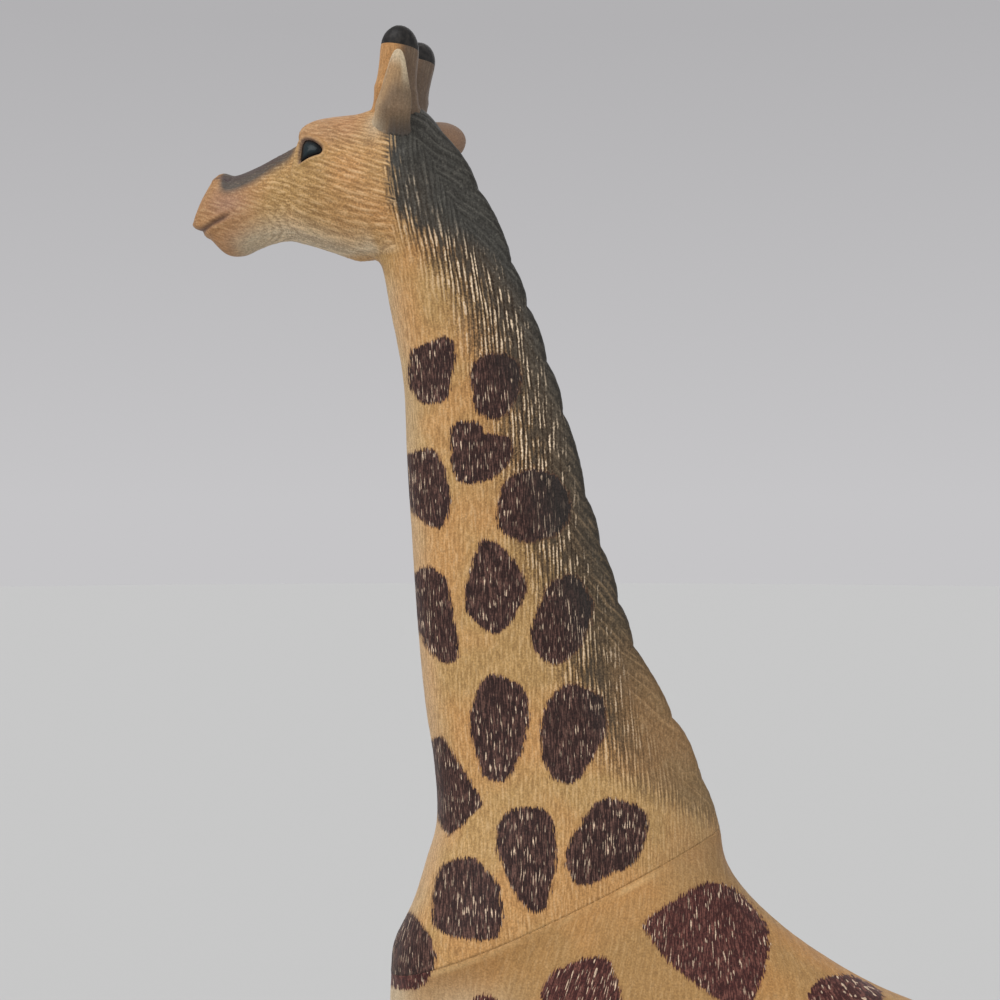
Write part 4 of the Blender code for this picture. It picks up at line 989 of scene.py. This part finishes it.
ear_paint = coat_paint("sprayed_satin_vinyl_ears", "#b98d60", "#a98a66")
for side, sign in SIDES.items():
    table = smooth_rows(EAR_SHARES[side], 8)
    back_by, side_by, up_by = EAR_FEET[side]
    foot = on_the_head(-back_by, sign * side_by, up_by)
    pointing, across = head_way(*EAR_POINTING[side]), head_way(*EAR_ACROSS[side])
    across = across - pointing * (across @ pointing)
    across /= np.linalg.norm(across)
    through = np.cross(pointing, across) * -sign
    middles = foot + pointing * table[:, :1] * EAR_LENGTHS[side]
    ear = tube(middles, across * table[:, 1:2] * EAR_HALF_WIDTH, through * table[:, 2:] * EAR_THICKNESS, 80)
    aside = ((ear - middles[:, None]) @ across)[..., None] / EAR_HALF_WIDTH
    bend = EAR_CUP * ramp(table[:, 0], 0.1, 0.5)[:, None, None]
    ear = ear + through * bend * (aside**2 - 0.35 * table[:, 1][:, None, None] ** 2)
    fields = tube_fields(ear, table[:, 0] * EAR_LENGTHS[side], 22, 0.035)
    fields["bristle"] -= 0.4
    fields["mane_depth"] *= 0.2
    along_ear, edge_of_ear = np.repeat(table[:, 0], 80), -aside.ravel() / np.repeat(table[:, 1], 80)
    if side == "left":
        rim = ramp(np.abs(edge_of_ear), 0.60, 0.92) * ramp(along_ear, 0.45, 0.70)
        root_light = bell(along_ear - 0.02, 0.20) * ramp(edge_of_ear, -0.15, 0.35)
        # painted highlight: the near ear's tip is lightened where the light catches it
        fields["pale"] = np.clip(0.85 * rim + 0.9 * ramp(along_ear, 0.76, 0.95) + 0.85 * root_light, 0, 1)
        # painted shade: the ear is darkened on one side of a slanting line, below its tip
        shade_line = edge_of_ear - 1.5 * (0.62 - along_ear)
        fields["dusk"] = ramp(-shade_line, -0.25, 0.55) * ramp(-along_ear, -0.80, -0.45) * 0.62
        behind_ear = ramp(-along_ear, -0.45, -0.04) * ramp(-edge_of_ear, -0.35, 0.35)
        fields["dusk"] = np.maximum(fields["dusk"], behind_ear)
        fields["mane"] = 22 * ramp(-along_ear, -0.12, 0.0) * behind_ear - 14
    else:
        fields["dusk"] = 0.45 + 0.15 * ramp(along_ear, 0.6, 1.0)
        fields["blush"] = fields["blush"] + 0.25
    mesh = grid_mesh(f"ear_{side}", rooted(ear, table[:, 0], EAR_FLARE))
    store(mesh, **fields)
    piece = engrave(new_object(f"ear_{side}", mesh), ear_paint)
    settle(piece, "ear", f"ear_{side}")

# The eyes, almond-shaped beads of hard acrylic pressed into the sockets and lacquered a deep glossy black,
# with a painted reflection, a trace of teal, in the middle.
EYE_SINK, EYE_SWELL, EYE_UNDER_LID, EYE_SURROUND = 0.75, 1.05, 1.12, 3.5
EYE_BLACK, EYE_TEAL_REFLECTION = "#0a0a0c", "#1c282c"

# Lacquered acrylic: it gives a broad soft highlight on near black, and clouds 0.7 mm across break up the teal of
# the painted reflection
gloss, tree = new_paint("lacquered_black_acrylic")
where = node(tree, "ShaderNodeTexCoord").outputs["Object"]
cloudy = node(tree, "ShaderNodeTexNoise", (where, 1 / (0.7 * MM), 2.0))
outward = node(tree, "ShaderNodeAttribute", attribute_name="outward").outputs["Fac"]
outward = node(tree, "ShaderNodeMath", (cloudy, 0.3, outward), operation="MULTIPLY_ADD")
# painted reflection: teal in the bead's middle
black = sprayed(tree, EYE_BLACK, EYE_TEAL_REFLECTION, (outward, 0.95, 0.55))
glossy = {"Base Color": black, "Roughness": 0.28, "Specular IOR Level": 0.22}
node(tree, "ShaderNodeOutputMaterial", (node(tree, "ShaderNodeBsdfPrincipled", glossy),))

outline = smooth_rows(EYE_OUTLINE + EYE_OUTLINE[:1], 6)[:-1]
centre = outline.mean(axis=0)
shares_out = np.linspace(EYE_UNDER_LID, 0.03, 14)
for side, sign in SIDES.items():
    close = (np.linalg.norm(profile - centre, axis=1) < EYE_SURROUND) & (flat[:, 1] * sign > 2)
    f, u = (profile[close] - centre).T
    fit = np.linalg.lstsq(np.stack([f**0, f, u, f * f, f * u, u * u], 1), flat[close, 1], rcond=None)[0]
    rings = []
    for share_out in shares_out:
        f, u = (outline - centre).T * share_out
        surface = np.stack([f**0, f, u, f * f, f * u, u * u], 1) @ fit
        dome = EYE_SWELL * math.sqrt(max(0, 1 - (share_out / EYE_UNDER_LID) ** 2)) - EYE_SINK
        rings.append(np.stack([-(f + centre[0]), surface + sign * dome, u + centre[1] + THROAT_UP], 1))
    back = rings[0] * (1, 0, 1) + (0, 1, 0) * (rings[0][:, 1:2] - sign * 0.8)
    bead = turned(np.stack([back, *rings]), 1.0)
    piece = new_object(f"eye_{side}", grid_mesh(f"eye_{side}", bead))
    store(piece.data, outward=np.repeat([EYE_UNDER_LID, *shares_out], len(outline)))
    piece.data.materials.append(gloss)
    settle(piece, "eye", f"eye_{side}")

# The body, one hollow moulding in the same vinyl, with the shoulders and haunches modelled in one with it.
# The neck plugs into its collar, and each leg into the flat end of a short stub.
BODY_LENGTH, BODY_DEPTH, BODY_HALF_WIDTH = 136.0, 70.0, 26.4
BODY_GRAIN, BODY_RELAX, SEAM_KEEP = 0.72, 14, 9.0
FORELEG_TOP, HINDLEG_TOP = 119.0, 114.0
FORELEG_BACK, HINDLEG_BACK, STANCE, STRIDE = 23.9, 118.0, 14.0, 4.0
LEG_HALF_DEPTH, LEG_HALF_WIDTH = 7.8, 6.0
PATCH_SPACING, PATCH_REACH, PATCH_GAP = 16.5, (6.4, 8.8), 2.3
BODY_STROKE = 1.25
BODY_SHARES = (
    (-0.001, -0.078, 0.419, 0.262, 0.64),
    (0.004, -0.187, 0.447, 0.182, 0.69),
    (0.029, -0.320, 0.497, 0.092, 0.76),
    (0.085, -0.490, 0.554, 0.015, 0.85),
    (0.172, -0.648, 0.610, -0.046, 0.93),
    (0.285, -0.750, 0.666, -0.092, 0.99),
    (0.410, -0.774, 0.720, -0.131, 1.00),
    (0.535, -0.750, 0.772, -0.163, 0.97),
    (0.654, -0.689, 0.825, -0.194, 0.90),
    (0.760, -0.631, 0.879, -0.233, 0.82),
    (0.854, -0.616, 0.922, -0.284, 0.70),
    (0.922, -0.600, 0.960, -0.357, 0.52),
    (0.968, -0.545, 0.982, -0.440, 0.30),
)

# Rings of the muscle that each leg joins: how far above the leg's top, how far back and how far in its
# middle lies, half depth and half width
SHOULDER_SHARES = (
    (0.62, 0.90, -0.15, 0.90, 0.60), (0.48, 0.60, -0.12, 1.75, 1.60), (0.34, 0.30, -0.05, 2.05, 1.95),
    (0.20, 0.10, -0.02, 1.75, 1.72), (0.09, 0.00, 0.00, 1.30, 1.30), (0.00, 0.00, 0.00, 1.02, 1.02),
    (-0.06, 0.00, 0.00, 1.00, 1.00),
)
HAUNCH_SHARES = (
    (0.50, -0.60, 0.00, 0.90, 0.60), (0.40, -0.75, 0.00, 1.90, 1.45), (0.28, -0.80, 0.00, 2.30, 1.75),
    (0.17, -0.50, 0.00, 2.00, 1.62), (0.08, -0.18, 0.00, 1.42, 1.28), (0.00, 0.00, 0.00, 1.02, 1.02),
    (-0.06, 0.00, 0.00, 1.00, 1.00),
)


def legs():
    """Each leg's name, whether it is a foreleg, its place back and aside, its top and its stride."""
    for side, sign in SIDES.items():
        yield f"front_leg_{side}", True, FORELEG_BACK, sign * STANCE, FORELEG_TOP, sign * STRIDE
        yield f"hind_leg_{side}", False, HINDLEG_BACK, sign * STANCE, HINDLEG_TOP, -sign * STRIDE


def rounded_patches(points, centres, reaches, gap):
    """How far inside the nearest rounded patch each place lies, in mm. Neighbours keep a gap."""
    inside = np.full(len(points), -99.0)
    nearest = np.full(len(points), 99.0)
    second = np.full(len(points), 99.0)
    for centre, reach in zip(centres, reaches):
        distance = np.linalg.norm(points - centre, axis=1)
        inside = np.maximum(inside, reach - distance)
        second = np.minimum(second, np.maximum(nearest, distance))
        nearest = np.minimum(nearest, distance)
    return np.minimum(inside, (second - nearest) / 2 - gap)


def scattered(points, spacing, random):
    """Places chosen among the points, by a seeded chance, no closer together than the spacing."""
    chosen = np.empty((0, 3))
    for point in points[random.permutation(len(points))[:6000]]:
        if not len(chosen) or np.linalg.norm(chosen - point, axis=1).min() > spacing:
            chosen = np.vstack([chosen, point])
    return chosen


def lumps(points, size, seed):
    """Smooth lumps of that size, from -1 to 1."""
    wave = np.zeros(len(points))
    random = np.random.default_rng(seed)
    for _ in range(9):
        way = random.normal(size=3)
        wave += np.sin(points @ (way / np.linalg.norm(way)) * 2 * math.pi / size + random.uniform(0, 6))
    return wave / 4.5


seam_rows = []
for rise_up in (9.0, 6.0, 3.0, 0.0):
    front = seam_front + seam_normal * rise_up
    nape = front + seam_along * SEAM_DEPTH
    seam_rows.append((*front[[0, 2]], *nape[[0, 2]], SEAM_HALF_WIDTH, NECK_SHARES[0][5]))
body_rows = [
    (b_back * BODY_LENGTH, SEAM_UP + b_up * BODY_DEPTH, t_back * BODY_LENGTH, SEAM_UP + t_up * BODY_DEPTH,
     width * BODY_HALF_WIDTH, 0)
    for b_back, b_up, t_back, t_up, width in BODY_SHARES
]
table = smooth_rows(seam_rows + body_rows, 10)
barrel = ovals(table[:, :2], table[:, 2:4], table[:, 4], table[:, 5], 160)[0]
solid = new_object("body_moulding", grid_mesh("barrel", barrel))
build = bmesh.new()
build.from_mesh(solid.data)
for name, fore, back, side, top, _ in legs():
    muscle = smooth_rows(SHOULDER_SHARES if fore else HAUNCH_SHARES, 5)
    above, behind, inward = muscle[:, :3].T
    middles = np.stack([back + behind * LEG_HALF_DEPTH, side * (1 + inward), top + above * BODY_DEPTH], 1)
    rings = tube(middles, muscle[:, 3:4] * (LEG_HALF_DEPTH, 0, 0), muscle[:, 4:] * (0, LEG_HALF_WIDTH, 0), 72)
    build.from_mesh(grid_mesh("muscle", rings))
build.to_mesh(solid.data)
build.free()
blend = solid.modifiers.new("blend", "REMESH")
blend.mode = "VOXEL"
blend.voxel_size = BODY_GRAIN * MM
relax = solid.modifiers.new("relax", "SMOOTH")
relax.factor = 0.5
relax.iterations = BODY_RELAX
graph = bpy.context.evaluated_depsgraph_get()
blended = bpy.data.meshes.new_from_object(solid.evaluated_get(graph))
solid.modifiers.clear()

# near the seam the skin is drawn back to the barrel's exact shape, then the ends are cut flat
places = np.zeros(len(blended.vertices) * 3)
blended.vertices.foreach_get("co", places)
places = places.reshape(-1, 3) / MM - (neck_foot, 0, 0)
exact = BVHTree.FromPolygons(
    [Vector(p) for p in barrel.reshape(-1, 3)],
    [
        (a * 160 + b, a * 160 + (b + 1) % 160, (a + 1) * 160 + (b + 1) % 160, (a + 1) * 160 + b)
        for a in range(len(barrel) - 1) for b in range(160)
    ],
)
height = (places - seam_front) @ seam_normal
held = 1 - ramp(-height, 1.5, SEAM_KEEP)
for index in np.nonzero((held > 0) & (height < 7.0))[0]:
    nearest_place = np.array(exact.find_nearest(Vector(places[index]))[0])
    places[index] += (nearest_place - places[index]) * held[index]
blended.vertices.foreach_set("co", place(places).ravel())
build = bmesh.new()
build.from_mesh(blended)
cuts = [(seam_front, seam_normal, None)]
cuts += [((back, side, top), (0, 0, -1), (back, side, top)) for _, _, back, side, top, _ in legs()]
for at, way, near in cuts:
    reach = [
        v for v in build.verts
        if near is None or (Vector((v.co - Vector(place(near)))[:2]).length < 14 * MM and v.co.z < (near[2] + 3) * MM)
    ]
    chosen = set(reach)
    faces = [face for face in build.faces if all(v in chosen for v in face.verts)]
    edges = {edge for face in faces for edge in face.edges}
    bmesh.ops.bisect_plane(
        build, geom=reach + list(edges) + faces, plane_co=place(at), plane_no=way, clear_outer=True,
    )
    rim = [edge for edge in build.edges if edge.is_boundary]
    bmesh.ops.contextual_create(build, geom=rim)
bmesh.ops.recalc_face_normals(build, faces=build.faces)
build.to_mesh(blended)
build.free()
solid.data = blended
blended.shade_smooth()

places = np.zeros(len(blended.vertices) * 3)
blended.vertices.foreach_get("co", places)
places = places.reshape(-1, 3) / MM - (neck_foot, 0, 0)
spots = drawn_spots(places)
random = np.random.default_rng(31)
shown = side_view(places)
x, y, z = places.T
free = (spots <= -SPOT_REACH) & (np.abs(z - 150) < 50) & ~((z < 126) & (np.abs(y) < 12))
free &= ~((shown[:, 0] < 92) & (shown[:, 1] > 155))
centres = scattered(places[free], PATCH_SPACING, random)
reaches = random.uniform(*PATCH_REACH, len(centres))
bent = places + np.stack([lumps(places, 17, seed) for seed in (5, 6, 7)], 1) * 1.6
patches = np.minimum(rounded_patches(bent, centres, reaches, PATCH_GAP), -spots - PATCH_GAP)
spots = np.maximum(spots, patches)
lean = 0.9 * ramp(x, 45, 135)
none = np.zeros(len(places))
across = x * (1 - 0.4 * lean) + lean * (z - 175) - 0.35 * bell(x - 31, 14) * (z - 166)
body_fur = np.stack([across, y / FUR_RUN, (z - lean * x) / FUR_RUN], axis=1)
belly = ramp(z, 128, 116) * (np.abs(y) < 14)
# painted highlight: the front of the chest is lightened where the light falls on it
chest = bell(np.hypot((x - 13) / 8, (z - 166) / 5), 1.0)
body_paint = coat_paint("sprayed_satin_vinyl_body", "#b4854f", "#ab8452", "#401e1b", "#6d433a")
# painted shade: the body is darkened brown behind the neck's base, as the neck is
store(blended, **coat_fields(
    across / BODY_STROKE, body_fur, bristle=none + 0.4, dusk=0.30 * nape_shade(shown), seam=from_seam(places),
    pale=np.clip(0.8 * (bell(np.clip(x, 0, None), 4.0) + belly) + 0.5 * chest, 0, 1), spot=np.clip(spots, -8, 14),
))
engrave(solid, body_paint, coat_depth=0.7)
settle(solid, "body_coat", "body_shell")

# The four legs, solid vinyl castings that plug into the stubs. The spots end above the knees and hocks, the
# shanks fade to cream, and the cloven hooves are brushed dark brown over fine growth rings.
HOOF_HEIGHT, HOOF_HALF_LENGTH, HOOF_HALF_WIDTH, HOOF_FORWARD = 9.8, 7.0, 5.7, 1.6
CLEFT_WIDTH, CLEFT_DEPTH = 0.55, 4.5
LEG_AROUND, LEG_GAP = 96, 0.3
HOOF_RING = 1.6
HOOF_BROWN, HOOF_DARK = "#4d4136", "#2e2722"
LEG_PATCH_SPACING, LEG_PATCH_REACH, LEG_PATCH_GAP = 9.5, (3.2, 4.6), 1.3
FORELEG_SHARES = (
    (0.880, 0.04, 0.90, 0.90), (0.750, 0.06, 0.72, 0.78), (0.660, 0.04, 0.61, 0.70), (0.605, -0.02, 0.66, 0.77),
    (0.555, -0.06, 0.70, 0.82), (0.505, 0.00, 0.59, 0.72), (0.430, 0.04, 0.50, 0.60), (0.300, 0.06, 0.46, 0.54),
    (0.220, 0.10, 0.52, 0.60), (0.170, 0.10, 0.62, 0.72), (0.125, -0.06, 0.56, 0.68),
)
HINDLEG_SHARES = (
    (0.920, 0.14, 0.92, 0.92), (0.830, 0.42, 0.76, 0.78), (0.740, 0.78, 0.62, 0.66), (0.670, 1.00, 0.64, 0.70),
    (0.610, 1.02, 0.66, 0.72), (0.550, 0.88, 0.54, 0.62), (0.440, 0.74, 0.48, 0.56), (0.310, 0.62, 0.46, 0.54),
    (0.230, 0.56, 0.52, 0.60), (0.178, 0.48, 0.62, 0.72), (0.131, 0.28, 0.56, 0.68),
)
HOOF_SHARES = ((1.00, 0.74, 0.78), (0.92, 0.84, 0.90), (0.50, 0.93, 0.96), (0.07, 1.00, 1.00), (0.00, 0.95, 0.94))

leg_paint = coat_paint("sprayed_satin_vinyl_legs", "#c4a36c", "#bda673")

# Brushed vinyl paint: dark brown with a satin sheen, lighter on growth rings 1.6 mm apart and in worn clouds
hoof_paint, tree = new_paint("brushed_brown_vinyl_hooves")
where = node(tree, "ShaderNodeTexCoord").outputs["Object"]
ring_wave = {"Vector": where, "Scale": 1 / (HOOF_RING * MM) / 6.283, "Distortion": 3.0, "Detail": 2.0}
rings = node(tree, "ShaderNodeTexWave", ring_wave, bands_direction="Z").outputs["Fac"]
worn = product(tree, node(tree, "ShaderNodeTexNoise", (where, 1 / (2.5 * MM), 4.0)), 0.6)
brushed = node(tree, "ShaderNodeMath", (rings, 0.4, worn), operation="MULTIPLY_ADD")
brown = sprayed(tree, HOOF_DARK, HOOF_BROWN, brushed)
bump = node(tree, "ShaderNodeBump", {"Strength": 0.5, "Distance": 0.12 * MM, "Height": rings})
satin = {"Base Color": brown, "Roughness": 0.42, "Normal": bump}
node(tree, "ShaderNodeOutputMaterial", (node(tree, "ShaderNodeBsdfPrincipled", satin),))

for name, fore, back, side, top, stride in legs():
    shares = FORELEG_SHARES if fore else HINDLEG_SHARES
    seat = top - LEG_GAP
    table = smooth_rows([(1, 0, 1, 1), *shares], 16)
    share, behind = table[:, :2].T
    middles = np.stack([back + behind * LEG_HALF_DEPTH + stride * (1 - share), 0 * share + side, share * seat], 1)
    halves = table[:, 2:] * (LEG_HALF_DEPTH, LEG_HALF_WIDTH)
    foot = back + shares[-1][1] * LEG_HALF_DEPTH + stride - HOOF_FORWARD
    hoof = smooth_rows(HOOF_SHARES, 9)
    share, reach = hoof[:, :2].T
    hoof_middles = np.stack([foot - HOOF_HALF_LENGTH * (reach - 1) / 2, 0 * share + side, share * HOOF_HEIGHT], 1)
    middles = np.vstack([middles, hoof_middles])
    halves = np.vstack([halves, hoof[:, 1:] * (HOOF_HALF_LENGTH, HOOF_HALF_WIDTH)])
    leg = tube(middles, halves[:, :1] * (1, 0, 0), halves[:, 1:] * (0, 1, 0), LEG_AROUND)
    turn = 2 * math.pi * np.arange(LEG_AROUND) / LEG_AROUND
    up_leg = middles[:, 2:] / top
    joint = 0.575 if fore else 0.64
    rear, front = np.cos(turn)[None, :], -np.cos(turn)[None, :]
    flank = np.abs(np.sin(turn))[None, :]
    swell_out = 0.55 * bell(up_leg - joint, 0.045) * ramp(front if fore else rear, 0.2, 0.9)
    swell_out = swell_out - 0.35 * bell(flank - 0.62, 0.22) * (rear > 0) * bell(up_leg - 0.36, 0.13)
    swell_out = swell_out + 0.40 * bell(up_leg - 0.165, 0.03) * ramp(rear, 0.1, 0.9)
    leg = leg + grid_normals(leg) * swell_out[..., None]
    toe = middles[:, 2] < HOOF_HEIGHT * 1.02
    slit = CLEFT_DEPTH * np.exp(-((leg[..., 1] - side) / CLEFT_WIDTH) ** 2) * ramp(front, 0.3, 0.8)
    leg[..., 0] += slit * toe[:, None] * ramp(HOOF_HEIGHT * 1.02 - middles[:, 2:], 0.0, 2.0)
    leg = leg[::-1]
    fields = tube_fields(leg, middles[::-1, 2], 22, 0.08)
    places = leg.reshape(-1, 3)
    random = np.random.default_rng(int(40 + back + side))
    upper = places[places[:, 2] > 74]
    centres = scattered(upper, LEG_PATCH_SPACING, random)
    reaches = random.uniform(*LEG_PATCH_REACH, len(centres)) * (0.55 + 0.45 * ramp(centres[:, 2], 72, 108))
    fields["spot"] = np.clip(rounded_patches(places, centres, reaches, LEG_PATCH_GAP), -8, 14)
    fields["pale"] = ramp(places[:, 2], 100, 45) * 0.9
    mesh = grid_mesh(name, leg)
    store(mesh, **fields)
    piece = engrave(new_object(name, mesh), leg_paint)
    piece.data.materials.append(hoof_paint)
    heights = np.array([face.center.z for face in piece.data.polygons])
    piece.data.polygons.foreach_set("material_index", (heights < HOOF_HEIGHT * MM).astype(np.int32))
    settle(piece, "leg_coat", name)

# The tail, one vinyl casting with a tuft at its end, plugged into the rump. Its stem is tan, and the tuft
# is cut into long strands and brushed dark.
TAIL_BACK, TAIL_DROP, TAIL_LENGTH, TAIL_RADIUS, TAIL_ROOT = 131.2, 25.9, 76.0, 2.4, 5.0
TUFT_FROM = 50.0
TAIL_SHARES = (
    (0.00, 0.000, 1.05), (0.07, 0.015, 1.00), (0.12, 0.070, 0.86), (0.14, 0.180, 0.70), (0.13, 0.340, 0.62),
    (0.12, 0.520, 0.60), (0.12, 0.640, 0.72), (0.13, 0.740, 1.25), (0.13, 0.850, 1.40), (0.12, 0.940, 0.85),
    (0.11, 1.000, 0.25),
)
table = smooth_rows([(-TAIL_ROOT / TAIL_LENGTH, 0, TAIL_SHARES[0][2]), *TAIL_SHARES], 12)
middles = np.stack(
    [TAIL_BACK + table[:, 0] * TAIL_LENGTH, 0 * table[:, 0], SEAM_UP - TAIL_DROP - table[:, 1] * TAIL_LENGTH], 1
)
on = np.gradient(middles, axis=0)
on /= np.linalg.norm(on, axis=1, keepdims=True)
out_of = np.stack([-on[:, 2], on[:, 1], on[:, 0]], 1)
radius = table[:, 2:] * TAIL_RADIUS
strands = np.arange(72) / 72 * 2 * math.pi
tail = tube(middles, out_of * radius, radius * (0, 1, 0), 72)
down = SEAM_UP - TAIL_DROP - middles[:, 2]
tuft = ramp(down, TUFT_FROM - 4, TUFT_FROM + 6)[:, None]
twist = strands[None, :] * 9 + 0.16 * down[:, None]
lock = 0.22 * np.sin(twist) + 0.12 * np.sin(2.3 * twist + 1.0)
tail = tail + grid_normals(tail) * (tuft * lock)[..., None]
fields = tube_fields(tail, down, 16, 0.08)
ragged = 5 * np.sin(3 * strands) + 3 * np.sin(8 * strands + 1)
fields["mane"] = np.clip((down[:, None] - TUFT_FROM + 2 + ragged[None, :]).ravel(), -14, 14)
fields["low_mane"] = fields["low_mane"] + 0.35
mesh = grid_mesh("tail", tail)
store(mesh, **fields)
tail_paint = coat_paint("sprayed_satin_vinyl_tail", "#b58d59", "#a98e60")
settle(engrave(new_object("tail_and_tuft", mesh), tail_paint), "tail", "tail")
